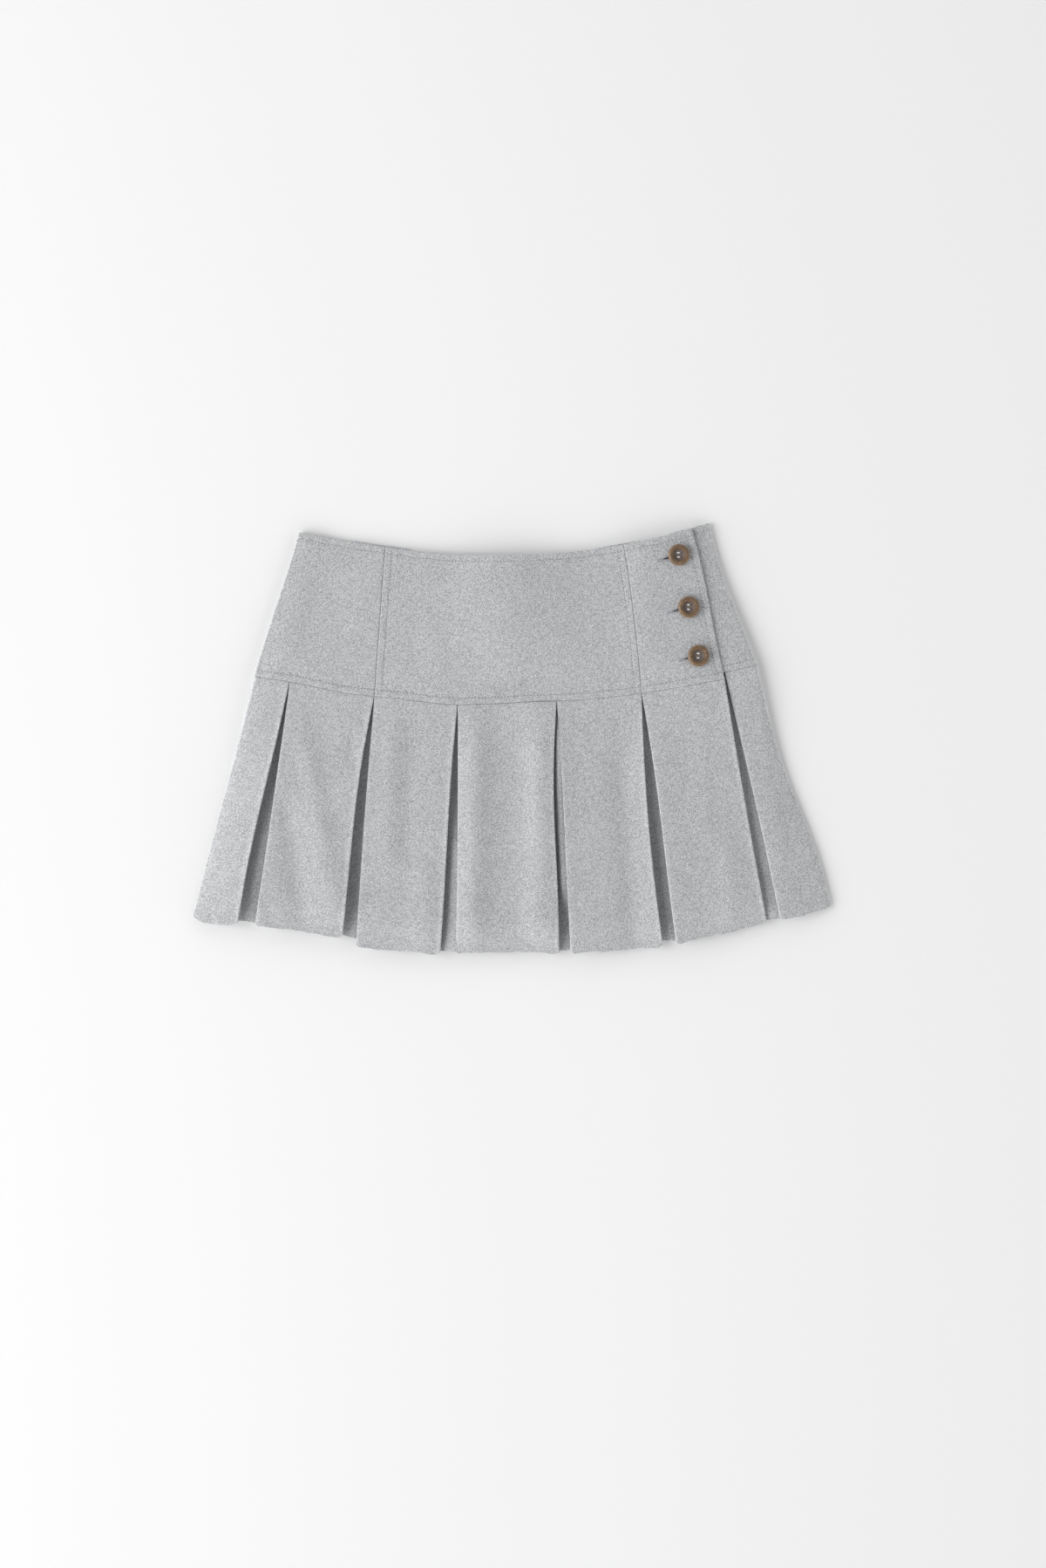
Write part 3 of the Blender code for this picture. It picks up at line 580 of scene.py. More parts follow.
def wool_twill(name, dark, mid, light):
    """Heather wool flannel: twill lines, uneven yarns and pale and dark fibres, brushed soft and matt."""
    made, tree, shader = new_material(name)
    weave = add(tree, "UVMap", uv_map="weave").outputs["UV"]
    in_mm = add(tree, "Mapping", {"Vector": weave, "Scale": (1000.0, 1000.0, 1000.0)}).outputs[0]
    slant = (0.0, 0.0, math.radians(TWILL_SLANT))
    turned = add(tree, "Mapping", {"Vector": in_mm, "Rotation": slant}).outputs[0]
    lines = add(tree, "TexWave", {"Vector": turned, "Scale": math.tau / 20 / TWILL_PITCH, "Distortion": 1.5,
                                  "Detail": 2.0, "Detail Scale": 2.0}, bands_direction="Y").outputs["Fac"]
    patch = add(tree, "TexNoise", {"Vector": in_mm, "Scale": 1 / TWILL_PATCH, "Detail": 1.0}).outputs[0]
    strength = add(tree, "MapRange", {0: patch, 1: 0.35, 2: 0.65, 3: 0.25, 4: 1.6}).outputs[0]
    swing = add(tree, "Math", {0: lines, 1: 0.5}, operation="SUBTRACT").outputs[0]
    twill = add(tree, "Math", {0: swing, 1: strength}, operation="MULTIPLY").outputs[0]

    maps = [add(tree, "Mapping", {"Vector": in_mm, "Scale": (x / YARN, y / YARN, 1.0)}).outputs[0]
            for x, y in ((1, YARN_STREAK), (YARN_STREAK, 1))]
    spun = {"Scale": 1.0, "Detail": 2.0, "Roughness": 0.6}
    warp, weft = [add(tree, "TexNoise", {"Vector": place, **spun}).outputs[0] for place in maps]
    yarns = add(tree, "Math", {0: warp, 1: weft}, operation="ADD").outputs[0]
    by_float = (1 / FLOAT[0], 1 / FLOAT[1], 1.0)
    float_map = add(tree, "Mapping", {"Vector": turned, "Scale": by_float}).outputs[0]
    floats = add(tree, "TexVoronoi", {"Vector": float_map, "Scale": 1.0, "Randomness": 0.45},
                 voronoi_dimensions="2D").outputs["Color"]
    clouds = {"Vector": in_mm, "Scale": 0.035, "Detail": 3.0, "Roughness": 0.6}      # about 30 mm across
    cloud = add(tree, "TexNoise", clouds).outputs[0]

    tone = yarns
    for pattern, weight in ((floats, FLOAT_WEIGHT), (twill, TWILL_WEIGHT), (cloud, CLOUD_WEIGHT)):
        tone = add(tree, "Math", {0: pattern, 1: weight, 2: tone}, operation="MULTIPLY_ADD").outputs[0]
    level = add(tree, "MapRange", {0: tone, 1: DARKEST, 2: LIGHTEST, 3: 0.0, 4: 1.0}).outputs[0]
    ramp = add(tree, "ValToRGB", {0: level})
    ramp.color_ramp.elements[0].color = linear(dark)
    ramp.color_ramp.elements[1].color = linear(light)
    ramp.color_ramp.elements.new(0.5).color = linear(mid)
    dyed = {"Vector": in_mm, "Scale": 0.45, "Detail": 1.0}      # faint specks of colour, about 2 mm
    hue = add(tree, "TexNoise", dyed, noise_dimensions="2D").outputs[1]
    tinted = add(tree, "Mix", {0: 0.05, 6: ramp.outputs[0], 7: hue},
                 data_type="RGBA", blend_type="SOFT_LIGHT")
    relief = add(tree, "Bump", {"Strength": 0.12, "Distance": 0.0003, "Height": yarns}).outputs[0]
    tree.links.new(tinted.outputs[2], shader.inputs["Base Color"])
    tree.links.new(relief, shader.inputs["Normal"])
    shader.inputs["Roughness"].default_value = 0.95
    shader.inputs["Specular IOR Level"].default_value = 0.15
    shader.inputs["Sheen Weight"].default_value = 0.25
    shader.inputs["Sheen Roughness"].default_value = 0.55
    return made


pleat_wool = wool_twill("heather wool twill, pleated", *WOOL_SHADES)

# The hidden back, pleated like the front. The front's strip of cloth starts in its last panel.
BACK_PLEATS = 6
BACK_SIDE_PANEL = 46.0
BACK_OPENING = 13.0                      # between two back panels at the hem
BACK_BOW = 1.5                           # so far each of their edges bows away from the opening
BACK_UNDERLAY_LIFT = 2.0
BACK_SEAM_DROP = 27.0                    # how far the back seam hangs below the line between its ends
BACK_HEM = ((-295.0, -165.5), (-237.0, -169.0), (-157.0, -180.5), (-60.0, -193.5), (45.0, -194.0),
            (150.0, -185.5), (233.0, -167.5), (292.2, -155.0))
SIDE_FOLD_STEPS = 12


def back_panels():
    """The seven back panels from right to left, with the same width between every two pleats."""
    seam = below(hanging(LEFT_SIDE.top, RIGHT_SIDE.top, BACK_SEAM_DROP), GAP)
    side_share = BACK_SIDE_PANEL / (RIGHT_SIDE.top[0] - LEFT_SIDE.top[0])
    lefts, rights = [], [RIGHT_SIDE]
    for k in range(BACK_PLEATS):
        share = mix(1 - side_share, side_share, k / (BACK_PLEATS - 1))
        top = (mix(LEFT_SIDE.top[0], RIGHT_SIDE.top[0], share), 0.0)
        hem_x = mix(LEFT_SIDE.bottom[0], RIGHT_SIDE.bottom[0], share)
        bow = mix(LEFT_SIDE.bow, RIGHT_SIDE.bow, share)
        lefts.append(Line(top, (hem_x + BACK_OPENING / 2, 0.0), bow + BACK_BOW, 0.0))
        rights.append(Line(top, (hem_x - BACK_OPENING / 2, 0.0), bow - BACK_BOW, 0.0))
    lefts.append(LEFT_SIDE)
    return [Panel(left, right, seam, through(BACK_HEM)) for left, right in zip(lefts, rights)]


BACK_PANEL_LIST = back_panels()
NEAR_BACK_EDGE, BACK_POINT_STEP = (0.0, 1.4, 3.2), 4.5
ACROSS_BACK_PANEL = spaced(PANEL_WIDTH, NEAR_BACK_EDGE, NEAR_BACK_EDGE, BACK_POINT_STEP) / PANEL_WIDTH


def lay_back_outer(strip, rows, first, last):
    """A back panel's outer layer, from right to left, flat on the floor."""
    strip.cut()
    for i, share in enumerate(ACROSS_BACK_PANEL[::-1]):
        if i == len(ACROSS_BACK_PANEL) // 2:
            strip.centre()
        strip.lay(rows.at(mix(first, last, share)), BACK_OUTER)


def lay_back_fold_out(strip, rows):
    """From the hidden fold along the return to a back panel's right edge, and down to its outer layer."""
    hidden, edge = hidden_fold(rows, BACK_UNDERLAY_LIFT, 1), rows.at(rows.width - EDGE_INSET)
    for share in RETURN_SHARES[::-1]:
        strip.lay(mix(edge, hidden, share), BACK_RETURN)
    strip.turn(edge, edge, rows.to_right, 1, BACK_RETURN, BACK_OUTER, FOLD_RADIUS)


def front_strip(v):
    """From the hidden side seam in the last back pleat, round the left side and over the front panels."""
    strip = Strip(v)
    back, rows = Rows(BACK_PANEL_LIST[-1], v), Rows(FRONT_PANELS[0], v)
    inset = side_inset(0, rows)
    lay_back_fold_out(strip, back)
    lay_back_outer(strip, back, inset, back.width - EDGE_INSET)
    strip.turn(back.at(inset), rows.at(inset), unit(back.from_left + rows.from_left), -1, BACK_OUTER,
               outer_height(0, rows, inset), inset - CLOTH / 2, steps=SIDE_FOLD_STEPS, toe=TOE)
    lay_outer(strip, 0, rows, inset, rows.width - EDGE_INSET)
    for number, pleat in enumerate(PLEATS[:-1]):
        hidden = lay_fold_in(strip, number, rows, pleat.underlay_lift)
        rows = Rows(FRONT_PANELS[number + 1], v)
        strip.turn(hidden, hidden, rows.from_left, -1, FRONT_RETURN, FRONT_UNDERLAY, FOLD_RADIUS)
        beyond = hidden_fold(rows, pleat.underlay_lift, -1)
        lay_underlay(strip, hidden, beyond, return_depth(v), FRONT_UNDERLAY, pleat.rise)
        lay_fold_out(strip, number + 1, rows, pleat.underlay_lift)
        lay_outer(strip, number + 1, rows, EDGE_INSET, rows.width - EDGE_INSET)
    lay_fold_in(strip, LAST - 1, rows, PLEATS[-1].underlay_lift)
    return strip


strip = front_strip(SKIRT_V)
front_pleats = cloth_piece("front_pleats", strip, settle_skirt(strip), CLOTH, pleat_wool, SKIRT_LENGTH)[0]
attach(front_pleats, "root")
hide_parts("skirt_front")


# ---------------------------------------------------------------- pleated back
# The back is a second length of the same cloth. It starts as the underlay of the last front pleat, makes the
# panel below the underlap, goes round the right side and lies on the floor in seven panels.
def back_strip(v):
    strip = Strip(v)
    before, rows, back = Rows(FRONT_PANELS[-2], v), Rows(FRONT_PANELS[-1], v), Rows(BACK_PANEL_LIST[0], v)
    lift = PLEATS[-1].underlay_lift
    inset = side_inset(LAST, rows)
    lay_underlay(strip, hidden_fold(before, lift, 1), hidden_fold(rows, lift, -1), return_depth(v),
                 FRONT_UNDERLAY, PLEATS[-1].rise)
    lay_fold_out(strip, LAST, rows, lift)
    lay_outer(strip, LAST, rows, EDGE_INSET, rows.width - inset)
    upper, lower = rows.at(rows.width - inset), back.at(back.width - inset)
    strip.turn(upper, lower, unit(rows.to_right + back.to_right), 1,
               outer_height(LAST, rows, rows.width - inset), BACK_OUTER, inset - CLOTH / 2,
               steps=SIDE_FOLD_STEPS, toe=TOE)
    lay_back_outer(strip, back, EDGE_INSET, back.width - inset)
    for panel in BACK_PANEL_LIST[1:]:
        hidden, edge = hidden_fold(back, BACK_UNDERLAY_LIFT, -1), back.at(EDGE_INSET)
        strip.turn(edge, edge, back.from_left, -1, BACK_OUTER, BACK_RETURN, FOLD_RADIUS)
        for share in RETURN_SHARES:
            strip.lay(mix(edge, hidden, share), BACK_RETURN)
        back = Rows(panel, v)
        strip.turn(hidden, hidden, back.to_right, 1, BACK_RETURN, BACK_UNDERLAY, FOLD_RADIUS)
        beyond = hidden_fold(back, BACK_UNDERLAY_LIFT, 1)
        lay_underlay(strip, hidden, beyond, return_depth(v), BACK_UNDERLAY)
        if panel is BACK_PANEL_LIST[-1]:
            break
        strip.turn(beyond, beyond, back.to_right, -1, BACK_UNDERLAY, BACK_RETURN, FOLD_RADIUS)
        lay_back_fold_out(strip, back)
        lay_back_outer(strip, back, EDGE_INSET, back.width - EDGE_INSET)
    return strip


strip = back_strip(SKIRT_V)
back_pleats = cloth_piece("back_pleats", strip, settle_skirt(strip), CLOTH, pleat_wool, SKIRT_LENGTH)[0]
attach(back_pleats, "root")
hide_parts("skirt_back")


# ---------------------------------------------------------------- yoke
# The low hip yoke is cut in panels of the same wool, turned in at their edges and topstitched 6 mm from the
# waist, the hem of the yoke, its two front seams and the placket's edge.
YOKE_CLOTH = 1.5                         # with its turned-in double; inside the solid's 1.8 mm
YOKE_LENGTH = 139.0
WAIST_FRONT_MIDDLE, SEAM_FRONT_MIDDLE = 4.9, 6.6
BACK_YOKE_MIDDLE = 0.9
YOKE_ROUNDNESS = 0.8
SIDE_SLOPE, SIDE_SLOPE_REACH = 0.85, 22.0    # the left panel slopes down to its side seam
UNDERLAP_SINK, UNDERLAP_RISE = 1.2, 0.7      # the underlap lies lower, but gains this share of it downwards
UNDERLAP_DROP, UNDERLAP_DROP_REACH = 0.8, 26.0   # it comes down to the right side fold
BACK_WAIST = ((-197.0, 189.6), (-166.0, 183.2), (-146.0, 181.6), (-122.0, 178.2), (-98.0, 174.8),
              (-75.0, 169.6), (-15.0, 166.0), (58.0, 171.0), (78.0, 175.4), (97.0, 179.1), (113.0, 181.8),
              (130.0, 184.0), (147.0, 189.7), (160.0, 193.2), (171.0, 195.6), (179.8, 198.4))
LEFT_SIDE_YOKE = Line((-197.0, 189.6), (-238.4, 56.8), 0.2, 0.4)
LEFT_YOKE_SEAM = Line((-117.8, 176.2), (-127.5, 39.8), 0.0, 0.0)
RIGHT_YOKE_SEAM = Line((101.4, 177.8), (117.6, 41.8), 1.4, 0.0)
UNDERLAP_EDGE = Line((127.2, 182.8), (157.8, 54.3), 0.8, 0.8)
PLACKET_EDGE = Line((163.2, 192.8), (193.8, 54.7), 0.8, 0.8)
RIGHT_SIDE_YOKE = Line((179.8, 198.4), (224.4, 67.4), -3.4, -1.0)
YOKE_LEFT, YOKE_CENTRE, YOKE_PLACKET = [
    Panel(left, right, through(WAIST), through(YOKE_SEAM))
    for left, right in ((LEFT_SIDE_YOKE, LEFT_YOKE_SEAM), (LEFT_YOKE_SEAM, RIGHT_YOKE_SEAM),
                        (RIGHT_YOKE_SEAM, PLACKET_EDGE))
]
UNDERLAP = Panel(UNDERLAP_EDGE, RIGHT_SIDE_YOKE, hanging(UNDERLAP_EDGE.top, RIGHT_SIDE_YOKE.top, 0.0),
                 through(UNDERLAP_SEAM))
YOKE_BACK = Panel(LEFT_SIDE_YOKE, RIGHT_SIDE_YOKE, through(BACK_WAIST),
                  hanging(LEFT_SIDE_YOKE.bottom, RIGHT_SIDE_YOKE.bottom, BACK_SEAM_DROP))

STITCH_LINE = 6.0                        # from the edge to the topstitching
EDGE_RISE, EDGE_SLOPE = 0.08, 3.6        # the turned-in edge raises the cloth, and it slopes down inwards
PINCH, PINCH_REACH = 0.12, 0.8           # and the stitches pinch it
SEAM_DIP, SEAM_DIP_REACH = 0.15, 2.2     # a plain edge dips into its seam
PUCKERS = (Wave(1.17, 0.06, 0.0), Wave(0.83, 0.042, 1.3), Wave(2.9, 0.036, 0.4))
PUCKERS_BEYOND = 1.5                     # they reach a little past the stitches
HEM_PUCKERS = 0.4                        # share of the puckers at the yoke's lower edge
WAIST_DIP, WAIST_DIP_FADE = 1.9, 40.0    # the front waist edge settles on the back one between the two seams
WAIST_DIP_FROM, WAIST_DIP_TO, WAIST_DIP_BY = -190.0, 105.0, 0.25
YOKE_FADE_OUT = 0.3
YOKE_FOLDS = (
    Fold((-164.0, 215.0), (-178.0, 70.0), 22.0, -1.6),
    Fold((-72.0, 110.0), (-70.0, 44.0), 14.0, 0.7),
    Fold((-6.0, 260.0), (-4.0, 44.0), 46.0, 5.2),
    Fold((114.0, 210.0), (124.0, 40.0), 15.0, 1.5),
)

# The mesh's points lie closer at the edges, and closest at the row of stitches.
NEAR_STITCHES = (0.0, 0.12, 0.35, 0.7, 1.2, 2.0, 3.0, 4.0, 4.7, 5.2, 5.6, 6.0, 6.4, 6.8, 7.3, 8.2, 9.6, 11.6)
NEAR_SEAM = (0.0, 0.12, 0.35, 0.7, 1.2, 1.9, 2.8, 4.2)
NEAR_FOLD = (0.0, 2.0)
YOKE_STEP, PLACKET_STEP, BACK_YOKE_STEP = 2.4, 1.6, 3.4
SIDE_SEAM_STEPS = 8
YOKE_V = spaced(YOKE_LENGTH, NEAR_STITCHES, NEAR_STITCHES, YOKE_STEP) / YOKE_LENGTH
FROM_TOP, FROM_BOTTOM = YOKE_V * YOKE_LENGTH, (1 - YOKE_V) * YOKE_LENGTH
FRONT_MIDDLE = mix(WAIST_FRONT_MIDDLE, SEAM_FRONT_MIDDLE, ease(YOKE_V))


def stitched_relief(distances):
    """Height of the cloth beside topstitched edges: raised by what is turned in, pinched by the stitches."""
    rise = pinch = 0.0
    for distance in distances:
        rise = np.maximum(rise, EDGE_RISE * (1 - ease((distance - STITCH_LINE) / EDGE_SLOPE + 0.5)))
        pinch = np.maximum(pinch, PINCH * np.exp(-((distance - STITCH_LINE) / PINCH_REACH) ** 2))
    return rise - pinch


def puckers(grid, distance):
    """Small puckers that a row of stitches draws into its turned edge."""
    across = np.clip(distance / (STITCH_LINE + PUCKERS_BEYOND), 0, 1)
    return ripple(grid[..., 0], PUCKERS) * np.sin(np.pi * across)


def yoke_relief(grid, from_left, from_right, left_stitched, right_stitched):
    """Seams, turned edges and stitches of a front yoke panel, added to its heights."""
    edges = [FROM_TOP + 0 * from_left, FROM_BOTTOM + 0 * from_left]
    for distance, stitched in ((from_left, left_stitched), (from_right, right_stitched)):
        if stitched:
            edges.append(distance)
        else:
            grid[..., 2] -= SEAM_DIP * np.clip(1 - distance / SEAM_DIP_REACH, 0, 1) ** 2
    grid[..., 2] += stitched_relief(edges) + puckers(grid, edges[0]) + HEM_PUCKERS * puckers(grid, edges[1])
    x = grid[..., 0]
    within = ease((x - WAIST_DIP_FROM) / WAIST_DIP_FADE) * ease((WAIST_DIP_TO - x) / WAIST_DIP_FADE)
    grid[..., 2] -= WAIST_DIP * (1 - ease(YOKE_V / WAIST_DIP_BY)) * within
    fold_softly(grid, YOKE_FOLDS, YOKE_FADE_OUT)


def lay_flat(strip, rows, places, height):
    """Cloth laid flat at distances from the panel's left edge."""
    for i, place in enumerate(places):
        if i == len(places) // 2:
            strip.centre()
        strip.lay(rows.at(place), height(place))


def lay_side_seam(strip, rows, reach, edge, height):
    """The rounded edge of a yoke piece at the left side, from the seam half way up the fold inwards."""
    flat = rows.at(reach + YOKE_CLOTH / 2)
    for step in range(SIDE_SEAM_STEPS):
        angle = math.pi / 2 * step / SIDE_SEAM_STEPS
        out = rows.from_left * (reach * math.cos(angle))[:, None]
        strip.lay(flat - out, mix(edge, height, math.sin(angle)))


def stretched(first, last, near_first, near_last, step):
    """Places across a panel in every row: those given near its ends, and even steps between."""
    nominal = float(np.mean(last - first))
    places = []
    for distance in spaced(nominal, near_first, near_last, step):
        if distance <= near_first[-1]:
            places.append(first + distance)
        elif distance >= nominal - near_last[-1]:
            places.append(last - (nominal - distance))
        else:
            share = (distance - near_first[-1]) / (nominal - near_first[-1] - near_last[-1])
            places.append(mix(first + near_first[-1], last - near_last[-1], share))
    return places


yoke_wool = wool_twill("heather wool twill, faced", *WOOL_SHADES)
surfaces = {}                            # the points and normals of each yoke piece's face, to sew on


def yoke_piece(name, strip, grid, node, ends, turned=False):
    """A piece of the yoke, with its face kept to sew on."""
    piece, outer, inner, normal = cloth_piece(name, strip, grid, YOKE_CLOTH, yoke_wool, YOKE_LENGTH, ends,
                                              turned)
    surfaces[name] = (inner, -normal) if turned else (outer, normal)
    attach(piece, "root")
    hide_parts(node)
    return piece


def front_yoke_piece(name, node, strip, rows, first, last, near, step, height, stitched):
    """A front yoke panel from its first to its last place across, after what the strip holds already."""
    folded = len(strip.places)
    places = stretched(first, last, *near, step)
    lay_flat(strip, rows, places, height)
    grid = strip.grid()
    from_left, from_right = np.full(grid.shape[:2], FAR), np.full(grid.shape[:2], FAR)
    from_right[folded:] = [last - place for place in places]
    if not folded:
        from_left[:] = [place - first for place in places]
    yoke_relief(grid, from_left, from_right, *stitched)
    return yoke_piece(name, strip, grid, node, (FAR if folded else 0.0, 0.0))


# Left side panel: its side seam runs down the outline, half way up the fold.
rows, strip = Rows(YOKE_LEFT, YOKE_V), Strip(YOKE_V)
seam_height = (FRONT_MIDDLE + BACK_YOKE_MIDDLE) / 2
edge = seam_height + GAP / 2
reach = YOKE_ROUNDNESS * (FRONT_MIDDLE - edge)
first = reach + YOKE_CLOTH / 2


def left_height(place):
    """Height of the left panel's middle at a place across it."""
    slope = np.clip(1 - (place - first) / SIDE_SLOPE_REACH, 0, 1) ** 2
    return FRONT_MIDDLE - SIDE_SLOPE * (FRONT_MIDDLE - edge) * slope


lay_side_seam(strip, rows, reach, edge, left_height(first))
left_yoke = front_yoke_piece("left_yoke_panel", "yoke_front_left", strip, rows, first, rows.width - GAP / 2,
                             ((0.0, 1.0, 2.5), NEAR_SEAM), YOKE_STEP, left_height, (True, False))

# Centre panel, with the two seams' allowances turned under it and stitched down.
rows = Rows(YOKE_CENTRE, YOKE_V)
seam = GAP / 2 + 0 * YOKE_V
centre_yoke = front_yoke_piece("centre_yoke_panel", "yoke_front_centre", Strip(YOKE_V), rows, seam,
                               rows.width - GAP / 2, (NEAR_STITCHES, NEAR_STITCHES), YOKE_STEP,
                               lambda place: FRONT_MIDDLE, (True, True))

# Button placket, which rises to ride over the underlap.
rows = Rows(YOKE_PLACKET, YOKE_V)
placket = front_yoke_piece("button_placket", "yoke_front_placket", Strip(YOKE_V), rows, seam, rows.width,
                           (NEAR_SEAM, NEAR_STITCHES), PLACKET_STEP,
                           lambda place: FRONT_MIDDLE + lap_at(place, rows.width, 0.0), (False, True))

# Back yoke, on the floor, round the right side and on as the underlap.
rows, lap, strip = Rows(YOKE_BACK, YOKE_V), Rows(UNDERLAP, YOKE_V), Strip(YOKE_V)
edge = seam_height - GAP / 2
reach = YOKE_ROUNDNESS * (edge - BACK_YOKE_MIDDLE)
first = reach + YOKE_CLOTH / 2
lay_side_seam(strip, rows, reach, edge, BACK_YOKE_MIDDLE)
under = FRONT_MIDDLE - UNDERLAP_SINK * (1 - UNDERLAP_RISE * YOKE_V)
reach = YOKE_ROUNDNESS * (under - UNDERLAP_DROP - BACK_YOKE_MIDDLE) / 2
inset = reach + YOKE_CLOTH / 2


def underlap_height(place):
    """Height of the underlap's middle at a place across it."""
    slope = np.clip(1 - (lap.width - place) / UNDERLAP_DROP_REACH, 0, 1) ** 2
    return under - UNDERLAP_DROP * slope


places = stretched(first, rows.width - inset, NEAR_FOLD, NEAR_FOLD, BACK_YOKE_STEP)
lay_flat(strip, rows, places, lambda place: BACK_YOKE_MIDDLE)
on_floor = len(strip.places)
lower, upper = rows.at(rows.width - inset), lap.at(lap.width - inset)
strip.turn(lower, upper, unit(rows.to_right + lap.to_right), 1, BACK_YOKE_MIDDLE,
           underlap_height(lap.width - inset), reach, steps=SIDE_FOLD_STEPS, toe=TOE)
strip.cut()
places = stretched(0 * YOKE_V, lap.width - inset, NEAR_SEAM, NEAR_FOLD, YOKE_STEP)[::-1]
lay_flat(strip, lap, places, underlap_height)
grid = strip.grid()
from_top, from_bottom = FROM_TOP + 0 * grid[..., 0], FROM_BOTTOM + 0 * grid[..., 0]
relief = stitched_relief([from_top, from_bottom]) + puckers(grid, from_top)
relief[:on_floor] = -np.minimum(relief[:on_floor], 0.0)
grid[..., 2] += relief
back_yoke = yoke_piece("back_yoke", strip, grid, "yoke_back", (FAR, 0.0), turned=True)


# ---------------------------------------------------------------- topstitching
# Between the stitches, small dark beads sunk into the cloth are painted shade in the needle holes, not
# thread.
# Tonal polyester thread, stitched by machine through the turned edges. Each stitch is a short soft bead that
# dips into the cloth at both ends.
# Sizes in mm: how far a stitch dips into the cloth at its ends, the pitch of the row, where on the pitch it
# starts, and how deep it sinks. The thread is drawn a little thick, to show.
Stitch = namedtuple("Stitch", "length thick dip pitch start sink")
TOPSTITCH = Stitch(2.2, 0.45, 0.3, 3.0, 0.1, 0.0)
# dark beads in the needle holes: painted shade
PAINTED_HOLE_SHADE = Stitch(1.3, 0.9, 0.0, 3.0, 0.72, 0.42)


def stitch_form():
    """Points and faces of one stitch, 1 long along X and 1 thick."""
    bpy.ops.mesh.primitive_uv_sphere_add(segments=6, ring_count=6, radius=0.5, location=(0, 0, 0),
                                         rotation=(0, math.pi / 2, 0))
    bead = bpy.context.object
    bpy.ops.object.transform_apply(location=False, rotation=True, scale=False)
    points = np.array([vertex.co for vertex in bead.data.vertices])
    faces = [tuple(face.vertices) for face in bead.data.polygons]
    bpy.data.objects.remove(bead)
    return points, faces


BEAD_POINTS, BEAD_FACES = stitch_form()


def stitches(runs, kind):
    """Points and faces of stitches set along lines that lie on the cloth."""
    points, faces = [], []
    half = kind.length / 2
    for line, normals in runs:
        travelled = np.concatenate([[0], np.cumsum(np.linalg.norm(np.diff(line, axis=0), axis=1))])
        for middle in np.arange(kind.pitch * kind.start + half, travelled[-1] - half, kind.pitch):
            ends = [np.array([np.interp(middle + side * half, travelled, line[:, k]) for k in range(3)])
                    for side in (-1, 1)]
            up = np.array([np.interp(middle, travelled, normals[:, k]) for k in range(3)])
            run = unit(ends[1] - ends[0])
            aside = unit(np.cross(up, run))
            up = np.cross(run, aside)
            local = BEAD_POINTS * (kind.length, kind.thick, kind.thick)
            local[:, 2] += kind.thick * 0.2 - kind.sink - kind.dip * (BEAD_POINTS[:, 0] * 2) ** 2
            faces += [tuple(len(points) * len(BEAD_POINTS) + i for i in face) for face in BEAD_FACES]
            points.append((ends[0] + ends[1]) / 2 + local @ np.array([run, aside, up]))
    return np.concatenate(points), faces


def sew(name, runs, kind, thread):
    """One piece of all the stitches along lines on the cloth."""
    points, faces = stitches(runs, kind)
    mesh = bpy.data.meshes.new(name)
    mesh.from_pydata((points * MM).tolist(), [], faces)
    mesh.shade_smooth()
    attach(linked(name, mesh, thread), "root")


def sewing_thread(name, dark, light):
    """Spun polyester thread: two plies twisted together, with a faint sheen."""
    made, tree, shader = new_material(name)
    place = add(tree, "TexCoord").outputs["Object"]
    ply = add(tree, "TexNoise", {"Vector": place, "Scale": 2600.0, "Detail": 1.0}).outputs[0]
    shade = add(tree, "Mix", {0: ply, 6: linear(dark), 7: linear(light)}, data_type="RGBA").outputs[2]
    relief = add(tree, "Bump", {"Strength": 0.4, "Distance": 0.0001, "Height": ply}).outputs[0]
    tree.links.new(shade, shader.inputs["Base Color"])
    tree.links.new(relief, shader.inputs["Normal"])
    shader.inputs["Roughness"].default_value = 0.7
    shader.inputs["Sheen Weight"].default_value = 0.2
    return made


grey_thread = sewing_thread("grey polyester thread", "A0A1A4", "C2C3C6")
# its dark colours are painted shade, for the beads in the needle holes
painted_hole_shade = sewing_thread("painted shade in needle holes", "454347", "5F5D62")


def row_line(surface, distances, distance, first=0):
    """The line across a yoke piece at a distance from its upper or its lower edge."""
    row = int(np.argmin(np.abs(distances - distance)))
    points, normals = surfaces[surface]
    return points[first:, row], normals[first:, row]


def column_line(surface, column):
    """A line down a yoke piece, from the waist's topstitching to the yoke's lower edge."""
    points, normals = surfaces[surface]
    inside = (FROM_TOP > STITCH_LINE) & (FROM_BOTTOM > 1.0)
    return points[column, inside], normals[column, inside]


LINE_AT = NEAR_STITCHES.index(STITCH_LINE)
BEYOND_SIDE_SEAM = 6                     # the back yoke's first points lie in the rounded side seam
for name, piece, first, columns in (("left_yoke", "left_yoke_panel", 0, ()),
                                    ("centre_yoke", "centre_yoke_panel", 0, (LINE_AT, -1 - LINE_AT)),
                                    ("placket", "button_placket", 0, (-1 - LINE_AT,)),
                                    ("back_yoke", "back_yoke", BEYOND_SIDE_SEAM, ())):
    runs = [row_line(piece, distances, STITCH_LINE, first) for distances in (FROM_TOP, FROM_BOTTOM)]
    runs += [column_line(piece, column) for column in columns]
    sew(name + "_topstitching", runs, TOPSTITCH, grey_thread)
    # and dark beads between the stitches, which are painted shade in the needle holes
    sew(name + "_painted_shade_in_needle_holes", runs, PAINTED_HOLE_SHADE, painted_hole_shade)


